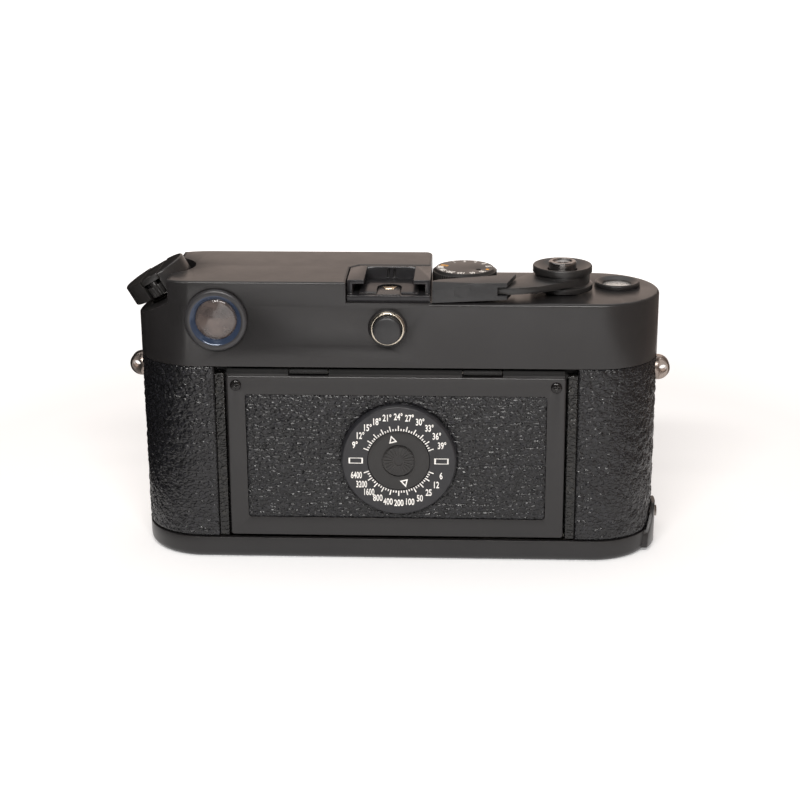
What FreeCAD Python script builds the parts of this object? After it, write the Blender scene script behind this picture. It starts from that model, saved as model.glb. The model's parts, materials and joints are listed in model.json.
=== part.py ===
import FreeCAD, Part
import math
import os

# Rangefinder camera body, in millimetres.
# +X is to the right seen from the lens side, -Y is the lens side, +Z is up.
# The origin is the middle of the underside of the baseplate.

V = FreeCAD.Vector
X_AXIS = V(1, 0, 0)
Y_AXIS = V(0, 1, 0)
Z_AXIS = V(0, 0, 1)

# --- driving dimensions ------------------------------------------------------
body_length = 138.0
body_depth = 33.5
skin = 0.5                # leather covering
shell_wall = 1.5
cover_wall = 1.3
base_top = 6.15           # parting line of baseplate and casing
base_gap = 0.25           # joint between baseplate and casing
shell_top = 54.2          # parting line of casing and top cover
deck_z = 71.5
housing_top = 77.0
housing_left = -8.8       # the finder housing runs from here ...
housing_right = 59.0      # ... to here
fit = 0.08                # radial clearance of a running fit
gap = 0.3                 # clearance of parts that pass each other

# lens mount and film gate
lens_x = 1.8
lens_z = 30.6
mount_proud = 2.5         # lens flange in front of the covering
flange_to_film = 27.8
ring_radius = 24.0
mouth_radius = 22.0       # bore in front of the claws that centres a lens
throat_radius = 21.5
throat_room = 0.7         # chassis opening round the ring's throat
spigot_radius = 22.5
claw_radius = 20.2
claw_depth = 1.75         # front of the claws behind the flange
claw_thick = 1.2
ring_edge = 0.3
mount_screw_head = 0.65
mount_screw_shank = 0.45
gate_width = 36.0
gate_height = 24.0
film_width = 35.0

# rangefinder arm, pivoted over the mount
arm_half = 1.1
arm_pivot_y = -9.8
arm_pivot_z = 58.4
arm_eye_radius = 1.9
arm_axle_radius = 0.8
arm_roller_radius = 2.0
arm_roller_y = -12.4
arm_roller_rise = 17.6    # height of the roller above the lens axis
arm_opening = 1.6         # room behind the arm for its swing

# shutter
curtain_step = 3.2        # distance of the curtains in front of the film
curtain_half = 14.0
drum_x = 29.4
drum_radius = 4.5
drum_shaft = 1.2
roller_radius = 1.9
roller_shaft = 0.7
ROLLERS = ((-20.2, -6.0), (-25.0, -9.4))

# film chambers
cassette_x = 51.5
cassette_radius = 13.2
cassette_top = 54.4
hub_x = -43.4             # advance lever, shutter button and take-up spool share this axis
hub_y = 0.8
takeup_radius = 11.3
sprocket_x = -25.2
sprocket_y = 2.4
sprocket_radius = 6.05
sprocket_half = 14.1      # distance of each row of teeth from the film's middle
pivot_radius = 1.6
takeup_journal = 3.0
chassis_roof = 50.8

# back door
door_half = 44.45
door_low = 6.75
door_high = 51.7
door_thick = 2.5
door_round = 0.55
door_corner = 0.8
pocket_half = 44.9        # opening in the chassis behind the door
inset_half = 39.6
inset_low = 12.0
inset_high = 46.6
inset_depth = 0.6
hinge_depth = 1.05        # hinge line inside the rear face
hinge_z = 52.7
knuckle_radius = 0.7
hinge_pin_radius = 0.4
rail_inner = 45.0
rail_outer = 47.4
rail_top = 52.2
door_screw_x = 41.9
door_screw_z = 49.1
screw_shank = 0.7
screw_head = 1.45

# film-speed selector
selector_x = -0.8
selector_z = 29.0
selector_radius = 15.3
selector_disc_radius = 8.1
selector_knob_radius = 4.1
selector_proud = 1.65
selector_shaft = 2.5

# accessory shoe
shoe_x = 1.7
shoe_half = 10.7
shoe_channel_half = 9.4
shoe_gap_half = 6.4
shoe_back_y = -1.5
shoe_rail_end = 13.7
shoe_lip_end = 15.5
shoe_corner = 2.4         # cut corner of the shoe towards the finder housing
shoe_floor = 73.2
shoe_rail_low = 75.8
shoe_rail_high = 76.9

# rewind knob, tilted outwards
knob_tilt = 30.0
knob_base = V(62.3, 0, 70.8)
knob_radius = 8.7
knob_height = 5.6
knob_lift = 1.6           # height of the knob above its slanted seat
knob_room = 1.8           # recess in the finder housing round the knob
rewind_shaft_radius = 2.0
bearing_radius = 3.4
collar_radius = 4.2
cone_low = 7.5            # distances of the conical gears' faces from the point
cone_high = 10.4          # where their axes meet
crank_width = 4.9
crank_thick = 1.5
crank_hinge = 6.4         # distance of the crank hinge from the knob axis
crank_hinge_drop = 0.9    # height of the knob's top over the crank hinge
crank_axle = 0.5
crank_axle_half = 4.6
grip_place = 7.0
grip_radius = 2.0
grip_pin_radius = 0.6

# deck controls
speed_x = -17.7
speed_y = -2.0
speed_radius = 8.5
speed_low = 71.9
speed_high = 76.45
speed_shaft_radius = 2.0
hub_radius = 8.0
hub_waist = 7.2           # radius of the hub where the arm leaves it
hub_disc = 7.8            # radius of the dished top disc
arm_low = 73.7
arm_high = 75.4
disc_low = 76.4
collar_high = 78.1
dish_depth = 1.2
button_radius = 3.65
button_low = 75.4
button_high = 79.1
lever_sleeve_radius = 4.2
lever_bore = 2.0
button_travel = 1.8
release_thread_radius = 1.65
tip_pivot_x = -27.2
tip_pivot_y = 11.2
tip_pin_radius = 1.2
eye_radius = 3.6
tip_high = 76.85          # flat top of the lever's tip
tip_root = 6.4            # front edge of the tip beside its pivot ...
tip_front = 13.1          # ... and at its free end
tip_bevel_x = -26.0       # the rear bevel runs out here
tip_bevel = 2.0           # width and height of the bevel at the free end
tip_recess = (-27.2, -15.3, 73.0, 75.2)
counter_bearing = 195.2   # direction from the lever's axis to the counter
counter_gap = 1.35        # room between the hub and the counter's bezel
counter_radius = 5.95
counter_high = 72.7
counter_disc_z = 68.8
counter_disc_radius = 6.2
counter_shaft = 1.0
counter_glass = 3.75
counter_lip = 0.15        # ledge under the glass

# transport gears, on the chassis under the top cover
gear_low = 56.8
gear_thick = 1.8
lever_gear_radius = 9.4
idler_gear_radius = 4.0
sprocket_gear_radius = 3.4
tooth_depth = 0.8
idler_stud_radius = 1.0

# back fittings
eyepiece_x = 46.35
eyepiece_z = 66.85
eyepiece_radius = 8.2
eyepiece_cone = 6.65      # coloured cone, from this radius down to the glass
eyepiece_glass = 5.4
sync_x = 1.9
sync_z = 64.9
sync_radius = 5.1
sync_cap_radius = 3.67
sync_cap_proud = 3.3
sync_collar = 4.4
sync_collar_proud = 1.2

# front fittings
window_z = 67.2
finder_window_x = 46.1
finder_window_size = (15.5, 9.5)
frame_window_x = 23.5
frame_window_size = (17.0, 6.5)
range_window_x = -23.0
range_window_size = (5.6, 4.0)
finder_prism_z = 60.4
battery_x = 32.5
battery_z = 15.0
battery_radius = 5.8
battery_length = 10.25
selector_lever_x = 29.2
selector_lever_z = 39.5
rewind_lever_x = -29.5
rewind_lever_z = 43.5
release_x = -25.7
release_z = 20.1
release_stem_radius = 2.8
front_shaft_radius = 1.5
front_lever_length = 11.5

# baseplate
base_floor = 1.5
base_wall = 1.3
tongue_top = 11.8
stud_z = 8.5
stud_radius = 1.5
lock_radius = 8.0
lock_shaft = 2.0
bail_middle = 5.8
bail_width = 1.3
bail_half_thick = 0.45
bail_z = 0.85
bail_pin = 0.4
tripod_x = -46.0
tripod_thread_radius = 3.175
tripod_bush_radius = 6.0

# strap lugs
lug_z = 49.9
lug_radius = 3.2
lug_half = 1.7
lug_out = 0.4             # centre of the ring beyond the end of the body
lug_round = 0.6
lug_hole_radius = 1.05
lug_hole_out = 1.75
lug_shank = 1.2
lug_washer = 3.4

# --- sizes that follow -------------------------------------------------------
half_length = body_length / 2
half_depth = body_depth / 2
end_centre = half_length - half_depth
shell_half_depth = half_depth - skin
chassis_half_depth = shell_half_depth - shell_wall
shell_front = -shell_half_depth
cut_front = -half_depth - 4       # cuts through the lens side start here ...
cut_back = half_depth + 4         # ... and those through the back end here
battery_front = shell_front + 0.4
battery_back = battery_front + battery_length
flange_y = -half_depth - mount_proud
film_y = flange_y + flange_to_film
curtain_y = film_y - curtain_step
drum_y = curtain_y - drum_radius
arm_roller_z = lens_z + arm_roller_rise
gate_face = film_y - 0.55
hinge_y = half_depth - hinge_depth
door_inner = half_depth - door_thick
chassis_back = door_inner - 0.35
deck_under = deck_z - cover_wall
tilt = math.radians(knob_tilt)
knob_axis = V(math.sin(tilt), 0, math.cos(tilt))
counter_reach = hub_radius + counter_radius + counter_gap
counter_x = hub_x + counter_reach * math.cos(math.radians(counter_bearing))
counter_y = hub_y + counter_reach * math.sin(math.radians(counter_bearing))
counter_face = counter_glass - counter_lip - gap
WINDOWS = (
    (finder_window_x, finder_window_size),
    (frame_window_x, frame_window_size),
    (range_window_x, range_window_size),
)


# --- helpers -----------------------------------------------------------------
def box(x0, x1, y0, y1, z0, z1):
    return Part.makeBox(x1 - x0, y1 - y0, z1 - z0, V(x0, y0, z0))


def rod(radius, start, axis, length):
    return Part.makeCylinder(radius, length, start, axis)


def post(radius, x, y, z0, z1):
    return rod(radius, V(x, y, z0), Z_AXIS, z1 - z0)


def across(radius, x, z, y0, y1):
    """Round bar along Y."""
    return rod(radius, V(x, y0, z), Y_AXIS, y1 - y0)


def stadium(half_l, half_d, z0, z1):
    """Upright prism with two flat sides and half-round ends."""
    c = half_l - half_d
    right = Part.Arc(V(c, -half_d, z0), V(half_l, 0, z0), V(c, half_d, z0))
    left = Part.Arc(V(-c, half_d, z0), V(-half_l, 0, z0), V(-c, -half_d, z0))
    front = Part.LineSegment(V(-c, -half_d, z0), V(c, -half_d, z0))
    back = Part.LineSegment(V(c, half_d, z0), V(-c, half_d, z0))
    wire = Part.Wire([s.toShape() for s in (front, right, back, left)])
    return Part.Face(wire).extrude(V(0, 0, z1 - z0))


def prism(points, z0, z1):
    """Upright prism over an outline of (x, y) points."""
    corners = [V(x, y, z0) for x, y in points]
    return Part.Face(Part.makePolygon(corners + corners[:1])).extrude(V(0, 0, z1 - z0))


def side_prism(points, y0, y1):
    """Prism along Y over an outline of (x, z) points."""
    corners = [V(x, y0, z) for x, z in points]
    return Part.Face(Part.makePolygon(corners + corners[:1])).extrude(V(0, y1 - y0, 0))


def place(shape, base, axis):
    """Move a shape made about +Z at the origin to a base point and axis."""
    moved = shape.copy()
    frame = FreeCAD.Placement(base, FreeCAD.Rotation(Z_AXIS, axis))
    moved.Placement = frame.multiply(moved.Placement)
    return moved


def turned(profile, base, axis):
    """Solid of revolution of (radius, height) points about an axis."""
    corners = [V(r, 0, h) for r, h in profile]
    face = Part.Face(Part.makePolygon(corners + corners[:1]))
    return place(face.revolve(V(0, 0, 0), Z_AXIS, 360), base, axis)


def join(shapes):
    return shapes[0].multiFuse(shapes[1:]).removeSplitter()


def rounded(shape, radius, chosen):
    """Fillet the edges for which chosen(bounding box) is true."""
    edges = [e for e in shape.Edges if chosen(e.BoundBox)]
    return shape.makeFillet(radius, edges)


def flat_at(z):
    return lambda b: abs(b.ZMin - z) < 0.001 and abs(b.ZMax - z) < 0.001


def rounded_box(x0, x1, y0, y1, z0, z1, radius):
    """Box whose four edges along Y are rounded."""
    shape = box(x0, x1, y0, y1, z0, z1)
    return rounded(shape, radius, lambda b: b.XLength < 0.001 and b.ZLength < 0.001)


def fluted(radius, z0, z1, count, depth):
    """Disc about the origin with v-shaped flutes round its edge."""
    step = 2 * math.pi / count
    points = []
    for i in range(count):
        points.append((radius * math.cos(i * step), radius * math.sin(i * step)))
        half = (i + 0.5) * step
        low = radius - depth
        points.append((low * math.cos(half), low * math.sin(half)))
    return prism(points, z0, z1)


def gear(radius, teeth):
    """Spur gear about the origin, one gear thickness high."""
    step = 2 * math.pi / teeth
    root = radius - tooth_depth
    points = []
    for i in range(teeth):
        for r, share in ((root, -0.32), (radius, -0.15), (radius, 0.15), (root, 0.32)):
            angle = (i + share) * step
            points.append((r * math.cos(angle), r * math.sin(angle)))
    return prism(points, 0, gear_thick)


def slot_cut(x, z, y, width, length, depth):
    """Screwdriver slot cut into a face that looks along -Y at the given y."""
    return box(x - length / 2, x + length / 2, y, y + depth, z - width / 2, z + width / 2)


def on_knob(shape, lift=0.0):
    """Place a shape made in the rewind knob's own frame."""
    moved = shape.copy()
    frame = FreeCAD.Placement(knob_base + knob_axis * lift, FreeCAD.Rotation(Y_AXIS, knob_tilt))
    moved.Placement = frame.multiply(moved.Placement)
    return moved


# --- top cover ---------------------------------------------------------------
def seat_space(inset):
    """Space above the rewind seat, and round the knob, for a form drawn in by inset."""
    above = on_knob(box(-30, 30, -25, 25, 0, 40), -knob_lift - inset)
    outside = box(housing_right - inset, half_length + 10, -25, 25, shell_top, 110)
    round_knob = on_knob(rod(knob_radius + knob_room + inset, V(0, 0, 0), Z_AXIS, 40), -knob_lift - inset)
    return above.common(outside).fuse(round_knob)


def shoe_room(inset, low):
    """Prism over the accessory shoe's outline with its cut corner, grown by inset."""
    right = shoe_x + shoe_half + inset
    front = shoe_back_y - inset
    points = [(housing_left - 10, 30), (housing_left - 10, front), (right - shoe_corner, front)]
    points += [(right, front + shoe_corner), (right, 30)]
    return prism(points, low, housing_top + 10)


def shoe_notch(inset):
    """Step in the housing that leaves room for the accessory shoe."""
    return shoe_room(gap + inset, deck_z - inset)


def cover_form(inset):
    """Outer form of the top cover, drawn in by inset for its hollow."""
    half_l = half_length - inset
    half_d = half_depth - inset
    deck_round = max(0.9 - inset, 0.3)
    deck = stadium(half_l, half_d, shell_top, deck_z - inset)
    deck = rounded(deck, deck_round, flat_at(deck_z - inset))
    tower = stadium(half_l, half_d, shell_top, housing_top - inset)
    left = housing_left + inset
    tower = tower.common(box(left, half_length, -25, 25, shell_top, housing_top))
    if inset == 0:
        def front_corner(b):
            return b.XLength < 0.001 and b.YLength < 0.001 and b.XMin < left + 1 and b.YMin < 0

        tower = rounded(tower, 2.0, front_corner)
    tower = tower.cut(shoe_notch(inset))
    if inset == 0:
        tower = rounded(tower, 0.6, flat_at(housing_top))
    return deck.fuse(tower).cut(seat_space(inset))


def window_space(x, size, y0, y1, margin=0.0):
    half_w = size[0] / 2 + margin
    half_h = size[1] / 2 + margin
    return rounded_box(x - half_w, x + half_w, y0, y1, window_z - half_h, window_z + half_h, 0.9)


def top_cover():
    hollow = cover_form(cover_wall).fuse(
        stadium(half_length - cover_wall, half_depth - cover_wall, shell_top - 1, shell_top + 1))
    shape = cover_form(0).cut(hollow)
    tools = [
        across(eyepiece_radius - 0.5, eyepiece_x, eyepiece_z, half_depth - 3, half_depth + 1),
        across(sync_radius, sync_x, sync_z, half_depth - 3, half_depth + 1),
        post(speed_shaft_radius + fit, speed_x, speed_y, deck_under - 1, deck_z + 1),
        post(lever_sleeve_radius + fit, hub_x, hub_y, deck_under - 1, deck_z + 1),
        post(counter_radius - 0.9, counter_x, counter_y, deck_under - 1, deck_z + 1),
        on_knob(rod(bearing_radius, V(0, 0, -8), Z_AXIS, 8)),
        across(ring_radius + gap, lens_x, lens_z, -half_depth - 1, -half_depth + 3),
    ]
    for x, size in WINDOWS:
        tools.append(window_space(x, size, -half_depth - 1, -half_depth + 3))
    return shape.cut(tools)


def front_windows():
    """Three glasses: a thin front in each opening with a wider plate behind the wall."""
    inside = -half_depth + cover_wall
    glasses = []
    for x, size in WINDOWS:
        front = window_space(x, size, -half_depth + 0.4, inside, -fit)
        back = window_space(x, size, inside, inside + 0.8, 0.7)
        hollow = stadium(half_length - cover_wall, half_depth - cover_wall, shell_top, housing_top)
        back = back.common(hollow)
        glasses.append(front.fuse(back))
    return glasses


# --- casing, covering and chassis --------------------------------------------
def lens_bar(radius, y0, y1):
    return across(radius, lens_x, lens_z, y0, y1)


def side_bores(margin):
    """Holes through the casing for the front levers, buttons and the end stud."""
    return [
        across(front_shaft_radius + margin, selector_lever_x, selector_lever_z, cut_front, -10),
        across(front_shaft_radius + margin, rewind_lever_x, rewind_lever_z, cut_front, -10),
        across(release_stem_radius + margin, release_x, release_z, cut_front, -12.2),
        rod(stud_radius, V(-half_length - 5, 0, stud_z), X_AXIS, 12),
        rod(lug_shank, V(-half_length - 5, 0, lug_z), X_AXIS, 8.5),
        rod(lug_shank, V(half_length - 3.5, 0, lug_z), X_AXIS, 8.5),
    ]


def body_shell():
    outer = stadium(half_length - skin, shell_half_depth, base_top, shell_top)
    inner = stadium(half_length - skin - shell_wall, chassis_half_depth, base_top, shell_top)
    shape = outer.cut(inner)
    opening = rail_outer + 0.2
    tools = [
        box(-opening, opening, 5, cut_back, base_top - 1, shell_top + 1),
        lens_bar(spigot_radius, cut_front, -10),
        across(battery_radius + 0.8, battery_x, battery_z, cut_front, -10),
    ]
    return shape.cut(tools + side_bores(fit) + mount_screw_forms())


def body_covering():
    low = base_top + 0.2
    high = shell_top - 0.2
    outer = stadium(half_length, half_depth, low, high)
    shape = outer.cut(stadium(half_length - skin, shell_half_depth, low, high))
    opening = rail_outer + 0.3
    tools = [
        box(-opening, opening, 5, cut_back, low - 1, high + 1),
        lens_bar(ring_radius + 0.2, cut_front, -10),
        across(battery_radius + 2.0, battery_x, battery_z, cut_front, -10),
        across(4.4, release_x, release_z, cut_front, -10),
        rod(lug_washer + 0.2, V(-half_length - 3, 0, lug_z), X_AXIS, 6),
        rod(lug_washer + 0.2, V(half_length - 3, 0, lug_z), X_AXIS, 6),
        rod(stud_radius, V(-half_length - 3, 0, stud_z), X_AXIS, 6),
        across(front_shaft_radius + gap, selector_lever_x, selector_lever_z, cut_front, -10),
        across(front_shaft_radius + gap, rewind_lever_x, rewind_lever_z, cut_front, -10),
    ]
    return shape.cut(tools)


def chassis():
    low = base_top
    shape = stadium(half_length - skin - shell_wall, chassis_half_depth, low, shell_top)
    boss = post(cassette_radius + 1.4, cassette_x, 0, shell_top - 1, cassette_top + 2.0)
    shape = shape.fuse(boss)
    box_half = 19.0
    arm_back = arm_pivot_y + arm_eye_radius
    box_high = curtain_half + 1.5
    tools = [
        post(cassette_radius, cassette_x, 0, low - 1, cassette_top),
        post(pivot_radius + fit, cassette_x, 0, cassette_top - 1, cassette_top + 3),
        post(takeup_radius, hub_x, hub_y, low - 1, chassis_roof),
        post(takeup_journal + fit, hub_x, hub_y, chassis_roof - 1, shell_top + 1),
        box(-pocket_half, pocket_half, gate_face, cut_back, low - 1, chassis_roof),
        box(-rail_outer - 0.2, rail_outer + 0.2, chassis_back, cut_back, low - 1, shell_top + 1),
        lens_bar(throat_radius + throat_room, cut_front, -11.5),
        box(lens_x - box_half, lens_x + box_half, -13, curtain_y - 1.0,
            lens_z - box_high, lens_z + box_high),
        box(lens_x - gate_width / 2, lens_x + gate_width / 2, -13, cut_back,
            lens_z - gate_height / 2, lens_z + gate_height / 2),
        box(lens_x - box_half - 1.2, drum_x, curtain_y - 0.5, curtain_y + 1.3,
            lens_z - box_high, lens_z + box_high),
        post(drum_radius + 0.7, drum_x, drum_y, lens_z - 18, lens_z + 18),
        post(drum_shaft, drum_x, drum_y, lens_z - 20.5, shell_top + 1),
        post(sprocket_radius + 1.3, sprocket_x, sprocket_y, 11.5, chassis_roof),
        post(pivot_radius + fit, sprocket_x, sprocket_y, 8.0, shell_top + 1),
        across(battery_radius + 0.2, battery_x, battery_z, cut_front, battery_back),
        across(battery_radius + 0.8, battery_x, battery_z, cut_front, shell_front + 2.05),
        box(lens_x - 3.6, lens_x + 3.6, cut_front, arm_back + arm_opening, lens_z + 14, shell_top + 1),
        post(4.6, -60.8, 0, 10, shell_top + 1),
    ]
    for x, y in ROLLERS:
        tools.append(post(roller_radius + 0.4, x, y, lens_z - 17, lens_z + 17))
        tools.append(post(roller_shaft, x, y, lens_z - 19, lens_z + 19))
    shape = shape.cut(tools + side_bores(fit))
    return shape.fuse(film_rails() + [counter_post(), lock_catch(), idler_stud()])


def film_rails():
    """Inner rails carry the film edges, outer rails carry the pressure plate."""
    rails = []
    for side in (-1, 1):
        inner = lens_z + side * (gate_height / 2 + 1.1)
        outer = lens_z + side * (film_width / 2 + 1.0)
        rails.append(box(lens_x - 20, lens_x + 22, gate_face - 1, film_y, inner - 0.8, inner + 0.8))
        rails.append(box(lens_x - 20, lens_x + 26, gate_face - 1, film_y + 0.2, outer - 0.7, outer + 0.7))
    return rails


def counter_post():
    bearing = post(2.6, counter_x, counter_y, shell_top - 1, counter_disc_z - 3.5)
    return bearing.cut(post(counter_shaft + fit, counter_x, counter_y, shell_top, shell_top + 20))


def lock_catch():
    """Curved hook beside the lock cam, at the end of the casing."""
    ring = post(cassette_radius + 1.4, cassette_x, 0, 3.2, base_top + 0.5)
    ring = ring.cut(post(cassette_radius + 0.2, cassette_x, 0, 3, base_top + 1))
    sector = box(cassette_x + 8, cassette_x + 16, -3.5, 3.5, 3, base_top + 1)
    return ring.common(sector)


def curtains():
    """Two cloth curtains with a stiffening lath on each free edge."""
    y = curtain_y
    low = lens_z - curtain_half
    high = lens_z + curtain_half
    left = lens_x - 19.6
    right = lens_x + 19.2
    first = box(left, drum_x, y, y + 0.25, low, high)
    first_lath = box(left, left + 1.6, y - 0.3, y, low, high)
    second = box(right, drum_x, y + 0.3, y + 0.55, low, high)
    second_lath = box(right, right + 1.4, y + 0.55, y + 0.85, low, high)
    return [first.fuse(first_lath), second.fuse(second_lath)]


def curtain_drums():
    """Winding drum beside the cassette and two spring rollers beside the sprocket."""
    drum = post(drum_radius, drum_x, drum_y, lens_z - 17, lens_z + 17)
    shapes = [drum.fuse(post(drum_shaft, drum_x, drum_y, lens_z - 20.3, shell_top + 1.5))]
    for x, y in ROLLERS:
        roller = post(roller_radius, x, y, lens_z - 16.5, lens_z + 16.5)
        shapes.append(roller.fuse(post(roller_shaft, x, y, lens_z - 19, lens_z + 19)))
    return shapes


# --- lens mount --------------------------------------------------------------
def lens_mount_ring():
    proud = shell_front - flange_y
    shoulder = proud - claw_depth
    profile = [(throat_radius, 0), (ring_radius, 0), (ring_radius, proud - ring_edge)]
    profile += [(ring_radius - ring_edge, proud), (mouth_radius + ring_edge, proud)]
    profile += [(mouth_radius, proud - ring_edge), (mouth_radius, shoulder), (throat_radius, shoulder)]
    ring = turned(profile, V(lens_x, shell_front, lens_z), -Y_AXIS)
    spigot = lens_bar(spigot_radius - fit, shell_front, shell_front + shell_wall)
    spigot = spigot.cut(lens_bar(throat_radius, -30, 0))
    shape = ring.fuse(spigot).cut(mount_screw_forms())
    return shape.fuse(mount_claws())


def mount_claws():
    front = flange_y + claw_depth
    band = lens_bar(throat_radius + 0.2, front, front + claw_thick).cut(lens_bar(claw_radius, -30, 0))
    claws = []
    for k in range(4):
        angle = math.radians(90 * k + 20)
        far = 40
        spread = math.radians(24)
        points = [(lens_x, lens_z)]
        for a in (angle - spread, angle + spread):
            points.append((lens_x + far * math.cos(a), lens_z + far * math.sin(a)))
        claws.append(band.common(side_prism(points, -30, 0)))
    return claws


def mount_screw_forms():
    forms = []
    middle = (mouth_radius + ring_radius) / 2
    for k in range(4):
        angle = math.radians(90 * k + 65)
        x = lens_x + middle * math.cos(angle)
        z = lens_z + middle * math.sin(angle)
        profile = [(0, 0), (mount_screw_head, 0), (mount_screw_head, 0.2)]
        profile += [(mount_screw_shank, 0.5), (mount_screw_shank, 3.4), (0, 3.4)]
        forms.append(turned(profile, V(x, flange_y, z), Y_AXIS))
    return forms


def mount_screws():
    shapes = []
    for form in mount_screw_forms():
        c = form.BoundBox.Center
        shapes.append(form.cut(slot_cut(c.x, c.z, flange_y - 0.01, 0.3, 2.2, 0.25)))
    return shapes


def rangefinder_arm():
    """Bell lever whose roller rides on the lens, with its own cross axle."""
    left = lens_x - arm_half
    right = lens_x + arm_half
    foot_z = arm_roller_z + 1.0
    roller = rod(arm_roller_radius, V(left, arm_roller_y, arm_roller_z), X_AXIS, right - left)
    web = box(left, right, arm_pivot_y - 1.6, arm_pivot_y + 1.2, foot_z, arm_pivot_z)
    foot = box(left, right, arm_roller_y, arm_pivot_y, foot_z, foot_z + 1.6)
    eye = rod(arm_eye_radius, V(left, arm_pivot_y, arm_pivot_z), X_AXIS, right - left)
    axle = rod(arm_axle_radius, V(left - 2.1, arm_pivot_y, arm_pivot_z), X_AXIS, right - left + 4.2)
    return join([roller, web, foot, eye, axle])


# --- finder ------------------------------------------------------------------
def finder_bracket():
    """Plate on the chassis, ears for the rangefinder arm's axle, and the prism table."""
    plate = box(-15, 35.0, -6.0, 13.0, shell_top, shell_top + 2.0)
    ears = []
    for side in (-1, 1):
        middle = lens_x + side * 2.6
        ears.append(box(middle - 0.7, middle + 0.7, arm_pivot_y - 1.6, -5.0,
                        shell_top + 0.6, arm_pivot_z + 1.6))
    table = box(30.0, 48.2, -11.0, 12.0, finder_prism_z - 1.6, finder_prism_z)
    leg = box(30.0, 34.4, -6.0, 12.0, shell_top + 1.0, finder_prism_z)
    shape = join([plate, table, leg] + ears)
    drum_room = post(drum_shaft + 0.4, drum_x, drum_y, shell_top - 1, shell_top + 3)
    axle_hole = rod(arm_axle_radius + fit, V(lens_x - 10, arm_pivot_y, arm_pivot_z), X_AXIS, 20)
    return shape.cut([drum_room, axle_hole])


def finder_prisms():
    """Beam-splitter block behind the eyepiece and corner prism at the rangefinder window."""
    block = box(37.6, 48.2, -10.5, 11.5, finder_prism_z, housing_top - cover_wall - 0.8)
    x = range_window_x
    y0 = -half_depth + cover_wall + 0.8
    points = [(x - 3.4, y0), (x + 3.4, y0), (x + 3.4, y0 + 6.8)]
    return [block, prism(points, window_z - 3.0, window_z + 2.4)]


def meter_board():
    board = box(8.0, 28.0, -5.0, 11.0, shell_top + 2.0, shell_top + 3.2)
    chips = [
        box(10, 16, -3, 3, shell_top + 3.2, shell_top + 4.4),
        box(18, 26, -2, 8, shell_top + 3.2, shell_top + 4.8),
        box(10, 13, 5, 9, shell_top + 3.2, shell_top + 5.0),
    ]
    return join([board] + chips)


# --- back door ---------------------------------------------------------------
def door_knuckles():
    spans = []
    for x0, x1 in ((-door_half + 0.4, -28.0), (-17.4, 17.4), (28.0, door_half - 0.4)):
        knuckle = rod(knuckle_radius, V(x0, hinge_y, hinge_z), X_AXIS, x1 - x0)
        web = box(x0, x1, hinge_y - knuckle_radius, hinge_y + knuckle_radius,
                  door_high - 0.8, hinge_z)
        spans.append(knuckle.fuse(web))
    return spans


def hinge_bore(margin):
    return rod(hinge_pin_radius + margin, V(-60, hinge_y, hinge_z), X_AXIS, 120)


def selector_bar(radius, y0, y1):
    return across(radius, selector_x, selector_z, y0, y1)


def back_door():
    face = half_depth - inset_depth
    panel = rounded_box(-door_half, door_half, door_inner, half_depth,
                        door_low, door_high, door_corner)
    outline = lambda b: b.YLength < 0.001 and b.YMin > half_depth - 0.01
    panel = rounded(panel, door_round, outline)
    tools = [
        rounded_box(-inset_half, inset_half, face, half_depth + 1, inset_low, inset_high, 0.8),
        selector_bar(selector_radius, face, half_depth + 1),
        selector_bar(selector_shaft + fit, door_inner - 1, half_depth + 1),
        hinge_bore(fit),
    ]
    for x in (-door_screw_x, door_screw_x):
        tools.append(across(screw_shank, x, door_screw_z, half_depth - 2.0, half_depth + 1))
    return panel.multiFuse(door_knuckles()).cut(tools)


def door_screws():
    shapes = []
    for x in (-door_screw_x, door_screw_x):
        profile = [(0, -2.0), (screw_shank, -2.0), (screw_shank, 0), (screw_head, 0)]
        profile += [(screw_head, 0.2), (screw_head * 0.85, 0.42), (screw_head * 0.5, 0.6), (0, 0.68)]
        head = turned(profile, V(x, half_depth, door_screw_z), Y_AXIS)
        cuts = []
        for half_w, half_h in ((0.8, 0.15), (0.15, 0.8)):
            cuts.append(box(x - half_w, x + half_w, half_depth + 0.3, half_depth + 1,
                            door_screw_z - half_h, door_screw_z + half_h))
        shapes.append(head.cut(cuts))
    return shapes


def door_covering():
    panel = rounded_box(-inset_half, inset_half, half_depth - inset_depth, half_depth,
                        inset_low, inset_high, 0.8)
    return panel.cut(selector_bar(selector_radius, 0, 30))


def film_speed_ring():
    low = half_depth - inset_depth
    high = half_depth + selector_proud
    inner = selector_disc_radius + 0.15
    profile = [(inner, low), (selector_radius, low), (selector_radius, high - 0.6)]
    profile += [(selector_radius - 0.6, high), (inner, high)]
    return turned(profile, V(selector_x, 0, selector_z), Y_AXIS)


def film_speed_dial():
    low = half_depth - inset_depth + 0.1
    high = half_depth + selector_proud - 0.1
    disc = turned([(0, low), (selector_disc_radius, low), (selector_disc_radius, high), (0, high)],
                  V(selector_x, 0, selector_z), Y_AXIS)
    moat = turned([(selector_knob_radius, high - 0.5), (selector_knob_radius + 0.35, high - 0.5),
                   (selector_knob_radius + 0.35, high + 1), (selector_knob_radius, high + 1)],
                  V(selector_x, 0, selector_z), Y_AXIS)
    ribs = fluted(selector_knob_radius, 0, 0.35, 26, 0.35)
    ribs = place(ribs, V(selector_x, high, selector_z), Y_AXIS)
    shaft = selector_bar(selector_shaft, door_inner + 0.1, low)
    return join([disc.cut(moat), shaft, ribs])


def pressure_plate():
    half_h = film_width / 2 + 1.5
    return box(lens_x - 21, lens_x + 27, film_y + 0.35, film_y + 1.75,
               lens_z - half_h, lens_z + half_h)


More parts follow.
